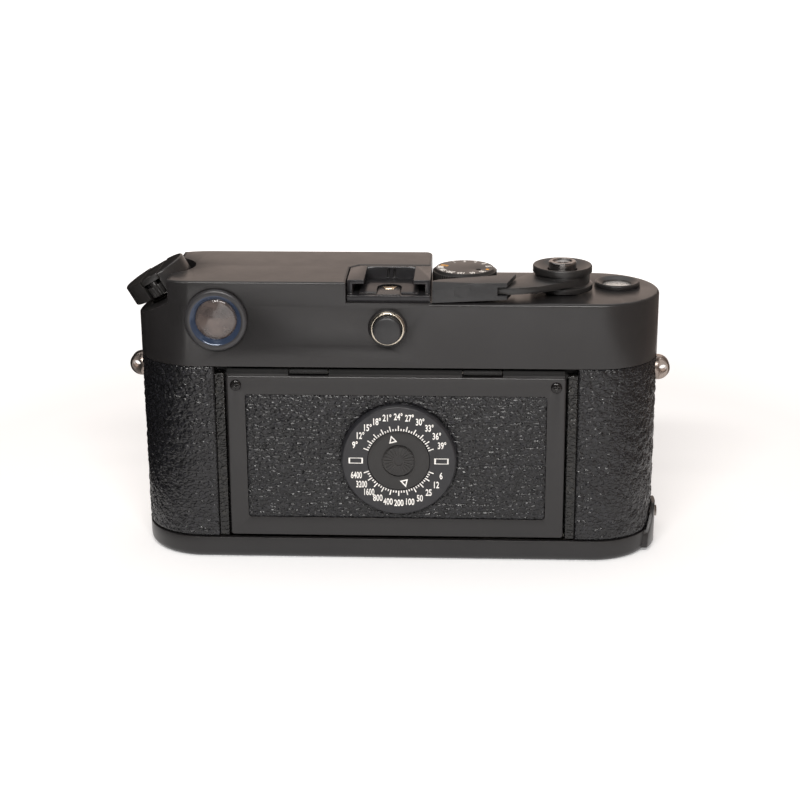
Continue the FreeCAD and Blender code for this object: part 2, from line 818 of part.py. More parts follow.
def pressure_springs():
    """Two bowed leaf springs between the door and the pressure plate."""
    y0 = film_y + 1.75
    y1 = door_inner
    shapes = []
    for side in (-1, 1):
        z = lens_z + side * 11
        points = [(-14, y1), (-10, y1), (-3, y0 + 0.4), (3, y0 + 0.4), (10, y1), (14, y1)]
        lower = [(14, y1 - 0.4), (10, y1 - 0.4), (3, y0), (-3, y0), (-10, y1 - 0.4), (-14, y1 - 0.4)]
        outline = [(lens_x + x, y) for x, y in points + lower]
        shapes.append(prism(outline, z - 3, z + 3))
    return shapes


def door_side_rails():
    shapes = []
    for x0 in (rail_inner, -rail_outer):
        x1 = x0 + rail_outer - rail_inner
        rail = box(x0, x1, chassis_back, half_depth - 0.3, base_top + 0.4, rail_top)
        shapes.append(rounded(rail, 0.25, lambda b: b.YMin > half_depth - 0.31))
    return shapes


def door_hinge_bracket():
    strip = box(-36, 36, chassis_back, hinge_y - 1.0, hinge_z - 0.5, shell_top - 0.2)
    shapes = [strip]
    for x0, x1 in ((-27.7, -17.7), (17.7, 27.7)):
        shapes.append(rod(knuckle_radius, V(x0, hinge_y, hinge_z), X_AXIS, x1 - x0))
        shapes.append(box(x0, x1, hinge_y - 1.2, hinge_y, hinge_z - 0.1, hinge_z + knuckle_radius))
    return join(shapes).cut(hinge_bore(0))


def door_hinge_pin():
    return rod(hinge_pin_radius, V(-39.5, hinge_y, hinge_z), X_AXIS, 79)


# --- accessory shoe ----------------------------------------------------------
def accessory_shoe():
    left = shoe_x - shoe_half
    right = shoe_x + shoe_half
    base = box(left, right, shoe_back_y, shoe_lip_end, deck_z, shoe_floor)
    shapes = [base]
    for side in (-1, 1):
        outer = shoe_x + side * shoe_half
        wall = shoe_x + side * shoe_channel_half
        lip = shoe_x + side * shoe_gap_half
        for inner, low in ((wall, shoe_floor), (lip, shoe_rail_low)):
            shapes.append(box(min(outer, inner), max(outer, inner), shoe_back_y, shoe_rail_end,
                              low, shoe_rail_high))
    shapes.append(box(left, right, shoe_back_y, shoe_back_y + 0.9, shoe_floor, shoe_rail_high))
    shape = join(shapes)
    slits = []
    for side in (-1, 1):
        x = shoe_x + side * 0.8
        slits.append(box(x - 0.3, x + 0.3, shoe_back_y - 1, shoe_back_y + 2,
                         shoe_floor + 0.8, shoe_rail_high - 0.6))
    return shape.cut(slits).common(shoe_room(0, deck_z))


def shoe_spring():
    """Arched leaf in the channel, open round the centre contact."""
    start = shoe_back_y + 1.6
    end = shoe_lip_end - 1.5
    half_w = 7.6
    rise = 0.55
    top = Part.Arc(V(0, start, shoe_floor + 0.3), V(0, (start + end) / 2, shoe_floor + rise + 0.3),
                   V(0, end, shoe_floor + 0.3)).toShape()
    low = Part.Arc(V(0, end, shoe_floor), V(0, (start + end) / 2, shoe_floor + rise),
                   V(0, start, shoe_floor)).toShape()
    back = Part.makeLine(V(0, end, shoe_floor + 0.3), V(0, end, shoe_floor))
    front = Part.makeLine(V(0, start, shoe_floor), V(0, start, shoe_floor + 0.3))
    leaf = Part.Face(Part.Wire([top, back, low, front])).extrude(V(2 * half_w, 0, 0))
    leaf.translate(V(shoe_x - half_w, 0, 0))
    opening = box(shoe_x - 3.2, shoe_x + 3.2, 9.8, 30, shoe_floor - 1, shoe_rail_high)
    return leaf.cut([opening, post(3.2, shoe_x, 9.8, shoe_floor - 1, shoe_rail_high)])


def shoe_contact():
    """Insulating tongue in the leaf's opening, with the centre contact on top."""
    tongue = box(shoe_x - 2.9, shoe_x + 2.9, 7.0, shoe_lip_end, shoe_floor, shoe_floor + 0.35)
    wide = 2.0
    narrow = 1.1
    points = [(shoe_x - wide, 8.0), (shoe_x + wide, 8.0), (shoe_x + narrow, 10.6), (shoe_x - narrow, 10.6)]
    return tongue.fuse(prism(points, shoe_floor + 0.35, shoe_floor + 0.6))


# --- advance lever group -----------------------------------------------------
def lever_arm():
    """Flat arm whose rear edge leaves the hub in a tangent and widens to the tip pivot."""
    rear = V(6.7, 13.0, 0)
    turn = math.atan2(rear.y, rear.x) + math.acos(hub_waist / rear.Length)
    points = [(hub_x + 5.4, hub_y - 4.7), (tip_pivot_x - 3.6, tip_pivot_y - 5.6)]
    points += [(tip_pivot_x + 1.2, tip_pivot_y - 3.4), (tip_pivot_x + 1.2, tip_pivot_y + 3.4)]
    points += [(tip_pivot_x - 3.0, tip_pivot_y + 4.4), (hub_x + rear.x, hub_y + rear.y)]
    points += [(hub_x + hub_waist * math.cos(turn), hub_y + hub_waist * math.sin(turn))]
    plate = prism(points, arm_low, arm_high)
    return plate.fuse(post(eye_radius, tip_pivot_x, tip_pivot_y, arm_low, arm_high))


def advance_lever():
    floor = collar_high - dish_depth
    profile = [(0, speed_low), (hub_radius, speed_low), (hub_radius, arm_low - 0.5)]
    profile += [(hub_waist, arm_low - 0.2), (hub_waist, disc_low), (hub_disc, disc_low)]
    profile += [(hub_disc, collar_high - 0.3), (hub_disc - 0.2, collar_high)]
    profile += [(hub_disc - 0.5, collar_high), (button_radius + 0.6, floor), (0, floor)]
    hub = turned(profile, V(hub_x, hub_y, 0), Z_AXIS)
    arm = lever_arm()
    sleeve = post(lever_sleeve_radius, hub_x, hub_y, shell_top + 0.3, speed_low + 1)
    wheel = gear(lever_gear_radius, 30)
    wheel.translate(V(hub_x, hub_y, gear_low))
    tools = [
        post(button_radius + gap, hub_x, hub_y, button_low - button_travel - 0.3, collar_high + 5),
        post(lever_bore, hub_x, hub_y, shell_top, collar_high),
        post(tip_pin_radius, tip_pivot_x, tip_pivot_y, arm_low - 1, arm_high + 1),
    ]
    return join([hub, arm, sleeve, wheel]).cut(tools)


def lever_tip():
    """Plastic tip, forked over the arm's eye, with a bevel that widens to its free end."""
    low = deck_z + 0.25
    end_x = shoe_x - shoe_half - 0.6
    rear = half_depth + 0.1
    root_rear = tip_pivot_x - 1.5
    root_front = tip_pivot_x - 3.9
    outline = [(root_rear, rear - 1.0), (root_front, tip_root), (end_x - 1.6, tip_front - 0.5)]
    outline += [(end_x, tip_front + 0.9), (end_x, rear)]
    body = prism(outline, low, tip_high)
    under = side_prism([(end_x - 1, low), (root_front - 8, low - 1), (root_front - 8, low + 1.0)], 0, 30)
    free = V(end_x, rear, tip_high - tip_bevel)
    top = V(end_x, rear - tip_bevel, tip_high)
    fades = V(tip_bevel_x, rear, tip_high)
    outward = (fades - free).cross(top - free)
    if outward.z < 0:
        outward = -outward
    bevel = place(box(-60, 60, -60, 60, 0, 30), free, outward)
    x0, x1, z0, z1 = tip_recess
    recess = box(x0, x1, rear - 0.45, rear + 1, z0, z1)
    pin_hole = post(tip_pin_radius + fit, tip_pivot_x, tip_pivot_y, low - 1, arm_high + 0.5)
    return body.cut([under, bevel, recess, arm_slot(), pin_hole])


def arm_slot():
    """Slot in the tip that the arm's eye turns in; it opens towards the hub and the rear."""
    eye = eye_radius + 0.35
    points = [(-9, -8.6), (1.2, -eye), (1.2, eye), (-0.4, 9.0), (-9, 9.0)]
    outline = [(tip_pivot_x + x, tip_pivot_y + y) for x, y in points]
    low = arm_low - gap
    high = arm_high + gap
    return prism(outline, low, high).fuse(post(eye, tip_pivot_x, tip_pivot_y, low, high))


def lever_tip_pin():
    """Pin fixed in the arm's eye, with a flat head under the fork."""
    return post(tip_pin_radius, tip_pivot_x, tip_pivot_y, deck_z + 0.9, arm_high + 0.25)


def shutter_button():
    r = button_radius
    thread = release_thread_radius
    profile = [(0, button_low), (r, button_low), (r, button_high - 0.3), (r - 0.3, button_high)]
    profile += [(thread + 1.0, button_high), (thread + 0.6, button_high - 0.5), (thread, button_high - 0.7)]
    profile += [(thread, button_low + 0.4), (0, button_low + 0.4)]
    head = turned(profile, V(hub_x, hub_y, 0), Z_AXIS)
    stem = post(lever_bore - 0.3, hub_x, hub_y, shell_top + 2.2, button_low)
    return head.fuse(stem)


# --- shutter-speed dial ------------------------------------------------------
def speed_dial():
    rim = fluted(speed_radius, speed_low + 0.5, speed_high - 0.7, 72, 0.3)
    edge = speed_high - 0.7
    profile = [(0, edge), (speed_radius - 0.3, edge), (speed_radius - 0.9, speed_high), (0, speed_high)]
    top = turned(profile, V(0, 0, 0), Z_AXIS)
    foot = post(speed_radius - 0.7, 0, 0, speed_low, speed_low + 0.5)
    shaft = post(speed_shaft_radius, 0, 0, shell_top + 4, speed_low)
    dimple = post(0.7, -3.6, 2.4, speed_high - 0.5, speed_high + 1)
    shape = join([rim, top, foot, shaft]).cut(dimple)
    shape.translate(V(speed_x, speed_y, 0))
    return shape


# --- frame counter -----------------------------------------------------------
def counter_bezel():
    """Ring on the deck with a wide conical inner slope down to the glass."""
    r = counter_radius
    ledge = counter_glass - counter_lip
    profile = [(ledge, deck_under), (r - 0.9, deck_under), (r - 0.9, deck_z), (r, deck_z)]
    profile += [(r, counter_high - 0.3), (r - 0.3, counter_high), (r - 0.6, counter_high)]
    profile += [(counter_glass, deck_z + 0.4), (counter_glass, deck_z), (ledge, deck_z)]
    return turned(profile, V(counter_x, counter_y, 0), Z_AXIS)


def counter_window():
    profile = [(0, deck_z), (counter_glass, deck_z), (counter_glass, deck_z + 0.3), (0, deck_z + 0.35)]
    return turned(profile, V(counter_x, counter_y, 0), Z_AXIS)


def counter_disc():
    """Disc under the deck, with a raised face in the window."""
    disc = post(counter_disc_radius, counter_x, counter_y, counter_disc_z, counter_disc_z + 0.8)
    face = post(counter_face, counter_x, counter_y, counter_disc_z, deck_z - 0.2)
    shaft = post(counter_shaft, counter_x, counter_y, shell_top + 0.4, counter_disc_z)
    return join([disc, face, shaft])


# --- film transport ----------------------------------------------------------
def take_up_spool():
    """Slotted core with a lower flange pressed onto it."""
    core_radius = 6.4
    low = base_top + 1.5
    core = post(core_radius, hub_x, hub_y, low, chassis_roof - 0.6)
    flange = post(takeup_radius - 0.7, hub_x, hub_y, low, low + 1.2)
    flange = flange.cut(post(core_radius, hub_x, hub_y, low - 1, low + 2))
    journal = post(takeup_journal, hub_x, hub_y, chassis_roof - 1, shell_top - 0.3)
    slots = []
    for k in range(3):
        slot = box(2.5, core_radius + 1, -0.8, 0.8, low + 4, chassis_roof - 6)
        slot.rotate(V(0, 0, 0), Z_AXIS, 120 * k)
        slot.translate(V(hub_x, hub_y, 0))
        slots.append(slot)
    return [join([core, journal]).cut(slots), flange]


def sprocket_drum():
    waist = post(sprocket_radius - 0.9, 0, 0, 12.0, chassis_roof - 0.5)
    shapes = [waist, post(pivot_radius, 0, 0, 8.2, gear_low + 1)]
    for side in (-1, 1):
        z = lens_z + side * sprocket_half
        shapes.append(post(sprocket_radius, 0, 0, z - 1.6, z + 1.6))
        for k in range(8):
            tip = sprocket_radius + 0.8
            tooth = prism([(4.0, -0.7), (tip, -0.4), (tip, 0.4), (4.0, 0.7)], z - 0.8, z + 0.8)
            tooth.rotate(V(0, 0, 0), Z_AXIS, 45 * k)
            shapes.append(tooth)
    pinion = gear(sprocket_gear_radius, 11)
    pinion.translate(V(0, 0, gear_low))
    shape = join(shapes + [pinion])
    shape.translate(V(sprocket_x, sprocket_y, 0))
    return shape


def idler_place():
    """Centre of the idler, a mesh gap clear of both wheels it sits between."""
    a = lever_gear_radius + idler_gear_radius + gap
    b = sprocket_gear_radius + idler_gear_radius + gap
    dx = sprocket_x - hub_x
    dy = sprocket_y - hub_y
    d = math.hypot(dx, dy)
    along = (a * a - b * b + d * d) / (2 * d)
    side = math.sqrt(a * a - along * along)
    return V(hub_x + (along * dx + side * dy) / d, hub_y + (along * dy - side * dx) / d, 0)


def idler_gear():
    wheel = gear(idler_gear_radius, 13).cut(post(idler_stud_radius + fit, 0, 0, -1, 5))
    wheel.translate(idler_place() + V(0, 0, gear_low))
    return wheel


def idler_stud():
    c = idler_place()
    stud = post(idler_stud_radius, c.x, c.y, shell_top, gear_low + gear_thick + 0.4)
    return stud.fuse(post(idler_stud_radius + 1.0, c.x, c.y, shell_top, gear_low - 0.2))


# --- rewind group ------------------------------------------------------------
def rewind_knob():
    body = rod(knob_radius, V(0, 0, 0), Z_AXIS, knob_height)
    body = rounded(body, 0.5, lambda b: b.ZLength < 0.001)
    half = crank_width / 2 + 0.3
    groove = box(-half, half, -knob_radius - 1, knob_radius + 1,
                 knob_height - crank_thick - 0.2, knob_height + 1)
    notch = box(-grip_radius - 0.5, grip_radius + 0.5, grip_place - grip_radius - 0.4, knob_radius + 1,
                -1, knob_height)
    ends = V(-crank_axle_half - 0.2, -crank_hinge, knob_height - crank_hinge_drop)
    hinge = rod(crank_axle + fit, ends, X_AXIS, 2 * crank_axle_half + 0.4)
    socket = rod(rewind_shaft_radius, V(0, 0, -1), Z_AXIS, 3.5)
    return on_knob(body.cut([groove, notch, hinge, socket]))


def rewind_shaft():
    """Shaft of the knob with its collar and the small conical gear at its lower end."""
    shaft = rod(rewind_shaft_radius, V(0, 0, -9.0), Z_AXIS, 11.5)
    collar = rod(collar_radius, V(0, 0, -knob_lift + 0.5), Z_AXIS, knob_lift - 0.5)
    cone = conical_gear()
    cone.translate(V(0, 0, -apex_distance()))
    stub = rod(1.4, V(0, 0, -apex_distance() + cone_low), Z_AXIS, apex_distance() - cone_low - 8)
    return on_knob(join([shaft, collar, cone, stub]))


def apex_distance():
    """Distance down the knob axis to where it meets the cassette axis."""
    return (knob_base.x - cassette_x) / math.sin(tilt)


def conical_gear():
    """Bevel pinion; its apex is at the origin and its teeth clear its mate."""
    slope = math.tan(tilt / 2)
    low = cone_low * slope - 0.18
    high = cone_high * slope - 0.18
    cone = Part.makeCone(low, high, cone_high - cone_low, V(0, 0, cone_low), Z_AXIS)
    cuts = []
    for k in range(10):
        cut = box(high - 0.5, high + 1, -0.22, 0.22, cone_low - 1, cone_high + 1)
        cut.rotate(V(0, 0, 0), Z_AXIS, 36 * k)
        cuts.append(cut)
    return cone.cut(cuts)


def rewind_bearing():
    """Sleeve in the slanted seat that carries the knob's shaft."""
    sleeve = rod(bearing_radius, V(0, 0, -7.0), Z_AXIS, 7.0 - knob_lift)
    flange = rod(bearing_radius + 1.4, V(0, 0, -knob_lift), Z_AXIS, 0.35)
    flange = flange.fuse(sleeve)
    return on_knob(flange.cut(rod(rewind_shaft_radius + fit, V(0, 0, -20), Z_AXIS, 30)))


def rewind_fork():
    """Upright shaft with a conical gear on top and a two-pronged driver in the chamber."""
    apex_z = knob_base.z - apex_distance() * math.cos(tilt)
    cone = conical_gear()
    cone.translate(V(cassette_x, 0, apex_z))
    shaft = post(pivot_radius, cassette_x, 0, cassette_top - 2, apex_z + cone_low)
    hub = post(2.6, cassette_x, 0, cassette_top - 3.0, cassette_top - 0.4)
    prongs = []
    for side in (-1, 1):
        x = cassette_x + side * 1.8
        prongs.append(box(x - 0.6, x + 0.6, -0.9, 0.9, cassette_top - 6.0, cassette_top - 2.5))
    return join([cone, shaft, hub] + prongs)


def rewind_crank():
    half = crank_width / 2
    end = knob_radius - 0.5
    top = knob_height
    low = knob_height - crank_thick
    bar = box(-half, half, -crank_hinge, end, low, top)
    bar = bar.fuse(rod(0.75, V(-half, -crank_hinge, knob_height - crank_hinge_drop), X_AXIS, crank_width))
    outline = rod(end, V(0, 0, low - 1), Z_AXIS, crank_thick + 2)
    bar = bar.common(outline)
    axle = rod(crank_axle, V(-crank_axle_half, -crank_hinge, knob_height - crank_hinge_drop), X_AXIS,
               2 * crank_axle_half)
    grip_hole = rod(grip_pin_radius + fit, V(0, grip_place, low - 1), Z_AXIS, 4)
    finger = box(-half, half, -2.6, -1.8, top - 0.35, top + 1)
    return on_knob(bar.cut([grip_hole, finger]).fuse(axle))


def crank_grip():
    low = knob_height - crank_thick
    head = fluted(grip_radius, 0.1, low - 1.2, 18, 0.22)
    shank = rod(0.95, V(0, 0, low - 1.2), Z_AXIS, 1.1)
    pin = rod(grip_pin_radius, V(0, 0, low - 1.2), Z_AXIS, 1.2 + crank_thick - 0.1)
    shape = join([head, shank, pin])
    shape.translate(V(0, grip_place, 0))
    return on_knob(shape)


# --- back fittings -----------------------------------------------------------
def eyepiece_ring():
    """Ring with a cone that runs from its face down to the glass."""
    r = eyepiece_radius
    y = half_depth
    spigot = r - 0.5 - fit
    profile = [(eyepiece_glass - 0.3, y - 2.2), (spigot, y - 2.2), (spigot, y), (r, y), (r, y + 0.7)]
    profile += [(r - 0.5, y + 1.2), (eyepiece_cone, y + 1.2), (eyepiece_glass, y)]
    profile += [(eyepiece_glass, y - 1.0), (eyepiece_glass - 0.3, y - 1.0)]
    return turned(profile, V(eyepiece_x, 0, eyepiece_z), Y_AXIS)


def eyepiece_lens():
    r = eyepiece_glass
    y = half_depth
    profile = [(0, y - 1.0), (r, y - 1.0), (r, y - 0.1), (r * 0.5, y + 0.03), (0, y + 0.08)]
    return turned(profile, V(eyepiece_x, 0, eyepiece_z), Y_AXIS)


def sync_socket():
    """Flange in the cover's hole with a plated collar round the cap."""
    y = half_depth
    outer = sync_radius - fit
    inner = sync_cap_radius + fit
    profile = [(0, y - 3.6), (outer, y - 3.6), (outer, y + 0.2), (sync_collar, y + 0.2)]
    profile += [(sync_collar, y + sync_collar_proud - 0.2), (sync_collar - 0.2, y + sync_collar_proud)]
    profile += [(inner + 0.15, y + sync_collar_proud), (inner, y + sync_collar_proud - 0.15)]
    profile += [(inner, y - 2.6), (1.5, y - 2.6), (1.5, y - 0.4), (0, y - 0.4)]
    return turned(profile, V(sync_x, 0, sync_z), Y_AXIS)


def sync_cap():
    y = half_depth
    r = sync_cap_radius
    proud = sync_cap_proud
    profile = [(1.5 + fit, y - 2.4), (r, y - 2.4), (r, y + proud - 0.6), (r - 0.2, y + proud - 0.2)]
    profile += [(r - 0.7, y + proud), (0, y + proud), (0, y), (1.5 + fit, y)]
    return turned(profile, V(sync_x, 0, sync_z), Y_AXIS)


# --- front fittings ----------------------------------------------------------
def battery_cap():
    r = battery_radius
    front = -half_depth - 0.6
    disc = across(r + 1.7, battery_x, battery_z, front, shell_front)
    plug = across(r + 0.8 - fit, battery_x, battery_z, shell_front, shell_front + 1.8)
    plug = plug.cut(across(r + 0.1, battery_x, battery_z, shell_front + 0.3, shell_front + 3))
    slot = slot_cut(battery_x, battery_z, front - 0.01, 1.4, 2 * r, 0.7)
    return disc.fuse(plug).cut(slot)


def battery_cell():
    return across(battery_radius, battery_x, battery_z, battery_front, battery_back)


def front_lever(x, z, lean):
    """Flat lever on a front shaft; it hangs down and leans towards +X by lean degrees."""
    y1 = -half_depth - 0.35
    y0 = y1 - 1.6
    hub = across(3.4, 0, 0, y0, y1)
    arm = side_prism([(-1.6, 0), (1.6, 0), (2.2, -front_lever_length), (-2.2, -front_lever_length)], y0, y1)
    end = across(2.2, 0, -front_lever_length, y0 - 0.6, y1)
    shaft = across(front_shaft_radius, 0, 0, y1 - 0.5, -11.0)
    shape = join([hub, arm, end, shaft])
    shape.rotate(V(0, 0, 0), Y_AXIS, -lean)
    shape.translate(V(x, 0, z))
    return shape


def lens_release_guard():
    ring = across(4.3, release_x, release_z, -half_depth - 1.6, shell_front)
    return ring.cut(across(3.1, release_x, release_z, -30, 0))


def lens_release_button():
    front = -half_depth - 2.2
    head = across(release_stem_radius, release_x, release_z, front, -14.0)
    return rounded(head, 0.5, lambda b: b.YLength < 0.001 and b.YMin < front + 0.01)


# --- baseplate ---------------------------------------------------------------
def lock_bar(radius, z0, z1):
    return post(radius, cassette_x, 0, z0, z1)


def tongue():
    """Upright end tongue of the baseplate, with the hole that hooks over the stud."""
    def band(inner, outer, z0, z1):
        return post(outer, -end_centre, 0, z0, z1).cut(post(inner, -end_centre, 0, z0 - 1, z1 + 1))
    inner = half_depth + base_gap
    outer = half_depth + 1.2
    low = band(half_depth - 0.8, outer, 1.2, base_top - base_gap)
    high = band(inner, outer, base_top - base_gap, tongue_top)
    half = [(9.5, 0), (8.6, 5.0), (4.4, 10.6), (2.6, tongue_top)]
    points = half + [(-y, z) for y, z in reversed(half)]
    corners = [V(-half_length - 5, y, z) for y, z in points]
    arch = Part.Face(Part.makePolygon(corners + corners[:1])).extrude(V(20, 0, 0))
    hole = rod(stud_radius + 0.8, V(-half_length - 5, 0, stud_z), X_AXIS, 10)
    return low.fuse(high).common(arch).cut(hole)


def baseplate():
    rim = base_top - base_gap
    outer = stadium(half_length, half_depth, 0, rim)
    outer = rounded(outer, 2.0, flat_at(0))
    inner = stadium(half_length - base_wall, half_depth - base_wall, base_floor, rim + 1)
    shape = outer.cut(inner)
    shape = join([shape, tongue(), lock_bar(lock_radius + 1.8, 0.6, 3.9)])
    tools = [
        lock_bar(lock_radius + gap, -1, 2.6),
        lock_bar(lock_shaft + fit, 0, 6),
        post(tripod_bush_radius, tripod_x, 0, -1, base_floor + 1),
    ]
    return shape.cut(tools)


def tripod_bush():
    body = post(tripod_bush_radius, tripod_x, 0, 0, base_floor)
    flange = post(tripod_bush_radius + 2.5, tripod_x, 0, base_floor, 5.2)
    return body.fuse(flange).cut(post(tripod_thread_radius, tripod_x, 0, -1, 6))


def base_lock_key():
    disc = lock_bar(lock_radius, 0.2, 2.4)
    groove = lock_bar(bail_middle + bail_width / 2 + 0.3, 0, 1.6)
    groove = groove.cut(lock_bar(bail_middle - bail_width / 2 - 0.3, -1, 3))
    room = box(cassette_x - 0.9, cassette_x + 12, -12, 12, -1, 3)
    pins = rod(bail_pin + fit, V(cassette_x, -7.5, bail_z), Y_AXIS, 15)
    shaft = lock_bar(lock_shaft, 2.0, 5.9)
    return disc.cut([groove.common(room), pins]).fuse(shaft)


def base_lock_bail():
    ring = lock_bar(bail_middle + bail_width / 2, bail_z - bail_half_thick, bail_z + bail_half_thick)
    ring = ring.cut(lock_bar(bail_middle - bail_width / 2, -1, 3))
    ring = ring.common(box(cassette_x - 0.4, cassette_x + 12, -12, 12, -1, 3))
    pins = []
    for side in (-1, 1):
        y = side * bail_middle
        pins.append(rod(bail_pin, V(cassette_x, min(y, y + side * 1.6), bail_z), Y_AXIS, 1.6))
    return join([ring] + pins)


def base_lock_cam():
    plate = lock_bar(6.5, 4.2, 5.4)
    lobe = lock_bar(cassette_radius - 0.3, 4.2, 5.4).common(box(cassette_x, cassette_x + 15, -2.5, 2.5, 4, 6))
    return plate.fuse(lobe).cut(lock_bar(lock_shaft, 3, 7))


# --- ends --------------------------------------------------------------------
def strap_lugs():
    """Rounded ring on a washer at each end of the casing."""
    core = stadium(half_length - skin, shell_half_depth, lug_z - 8, shell_top)
    shapes = []
    for side in (-1, 1):
        x = side * half_length
        disc = rod(lug_radius, V(x + side * lug_out, -lug_half, lug_z), Y_AXIS, 2 * lug_half)
        disc = rounded(disc, lug_round, lambda b: b.YLength < 0.001)
        washer = rod(lug_washer, V(x - side * 1.0, 0, lug_z), X_AXIS * side, 1.4)
        shank = rod(lug_shank, V(x - side * 3.4, 0, lug_z), X_AXIS * side, 3.2)
        hole = rod(lug_hole_radius, V(x + side * lug_hole_out, -5, lug_z), Y_AXIS, 10)
        shapes.append(disc.fuse(washer).cut(core).fuse(shank).cut(hole))
    return shapes


def baseplate_stud():
    return rod(stud_radius, V(-half_length - 1.7, 0, stud_z), X_AXIS, 6.0)


# --- writing the parts -------------------------------------------------------
PARTS = {
    "body_shell": body_shell,
    "body_covering": body_covering,
    "chassis": chassis,
    "top_cover": top_cover,
    "door_side_rails": door_side_rails,
    "door_hinge_bracket": door_hinge_bracket,
    "door_hinge_pin": door_hinge_pin,
    "back_door": back_door,
    "door_covering": door_covering,
    "door_screws": door_screws,
    "film_speed_ring": film_speed_ring,
    "film_speed_dial": film_speed_dial,
    "pressure_plate": pressure_plate,
    "pressure_springs": pressure_springs,
    "shutter_curtains": curtains,
    "curtain_drums": curtain_drums,
    "lens_mount_ring": lens_mount_ring,
    "mount_screws": mount_screws,
    "rangefinder_arm": rangefinder_arm,
    "finder_bracket": finder_bracket,
    "finder_prisms": finder_prisms,
    "front_windows": front_windows,
    "meter_board": meter_board,
    "accessory_shoe": accessory_shoe,
    "shoe_spring": shoe_spring,
    "shoe_contact": shoe_contact,
    "advance_lever": advance_lever,
    "lever_tip": lever_tip,
    "lever_tip_pin": lever_tip_pin,
    "shutter_button": shutter_button,
    "speed_dial": speed_dial,
    "counter_bezel": counter_bezel,
    "counter_window": counter_window,
    "counter_disc": counter_disc,
    "take_up_spool": take_up_spool,
    "sprocket_drum": sprocket_drum,
    "idler_gear": idler_gear,
    "rewind_knob": rewind_knob,
    "rewind_shaft": rewind_shaft,
    "rewind_bearing": rewind_bearing,
    "rewind_fork": rewind_fork,
    "rewind_crank": rewind_crank,
    "crank_grip": crank_grip,
    "eyepiece_ring": eyepiece_ring,
    "eyepiece_lens": eyepiece_lens,
    "sync_socket": sync_socket,
    "sync_cap": sync_cap,
    "battery_cap": battery_cap,
    "battery_cell": battery_cell,
    "frame_selector_lever": lambda: front_lever(selector_lever_x, selector_lever_z, 20),
    "rewind_release_lever": lambda: front_lever(rewind_lever_x, rewind_lever_z, 0),
    "lens_release_guard": lens_release_guard,
    "lens_release_button": lens_release_button,
    "baseplate": baseplate,
    "tripod_bush": tripod_bush,
    "base_lock_key": base_lock_key,
    "base_lock_bail": base_lock_bail,
    "base_lock_cam": base_lock_cam,
    "strap_lugs": strap_lugs,
    "baseplate_stud": baseplate_stud,
}


def main():
    os.makedirs("parts", exist_ok=True)
    for node, make in PARTS.items():
        made = make()
        solids = made if isinstance(made, list) else [made]
        shape = solids[0] if len(solids) == 1 else Part.makeCompound(solids)
        shape.exportStep("parts/" + node + ".step")
        box_ = shape.BoundBox
        print(f"{node:24s} solids {len(shape.Solids)} valid {shape.isValid()} volume {shape.Volume:9.1f}"
              f"  x {box_.XMin:7.2f} {box_.XMax:7.2f}  y {box_.YMin:7.2f} {box_.YMax:7.2f}"
              f"  z {box_.ZMin:7.2f} {box_.ZMax:7.2f}")


main()
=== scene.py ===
import json
import math

import bmesh
import bpy
import numpy as np
from mathutils import Matrix, Vector


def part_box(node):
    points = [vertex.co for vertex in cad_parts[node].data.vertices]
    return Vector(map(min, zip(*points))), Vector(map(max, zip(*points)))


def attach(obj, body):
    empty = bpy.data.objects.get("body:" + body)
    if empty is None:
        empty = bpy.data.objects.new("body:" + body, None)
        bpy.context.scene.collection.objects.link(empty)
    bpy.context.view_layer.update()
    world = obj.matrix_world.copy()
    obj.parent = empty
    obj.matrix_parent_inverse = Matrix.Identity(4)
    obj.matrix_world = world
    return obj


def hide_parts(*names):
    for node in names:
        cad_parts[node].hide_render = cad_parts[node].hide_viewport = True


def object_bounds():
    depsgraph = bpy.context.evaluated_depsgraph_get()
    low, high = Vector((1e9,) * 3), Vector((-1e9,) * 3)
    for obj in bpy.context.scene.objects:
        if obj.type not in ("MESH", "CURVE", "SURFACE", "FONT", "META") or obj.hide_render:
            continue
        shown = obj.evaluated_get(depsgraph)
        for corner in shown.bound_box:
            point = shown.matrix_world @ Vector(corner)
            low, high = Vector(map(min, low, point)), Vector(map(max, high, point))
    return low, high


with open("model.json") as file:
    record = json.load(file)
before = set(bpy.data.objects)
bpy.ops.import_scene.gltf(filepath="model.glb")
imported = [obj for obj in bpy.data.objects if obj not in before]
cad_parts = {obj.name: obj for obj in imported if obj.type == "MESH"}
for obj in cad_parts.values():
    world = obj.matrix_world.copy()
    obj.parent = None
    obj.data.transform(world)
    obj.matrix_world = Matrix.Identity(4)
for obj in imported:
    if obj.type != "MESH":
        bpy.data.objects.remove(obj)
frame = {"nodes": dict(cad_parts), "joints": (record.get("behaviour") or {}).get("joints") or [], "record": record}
cad_low, cad_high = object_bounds()
NODES = frame["nodes"]
JOINTS = {row["name"]: row for row in frame["joints"]}
MM = 0.001


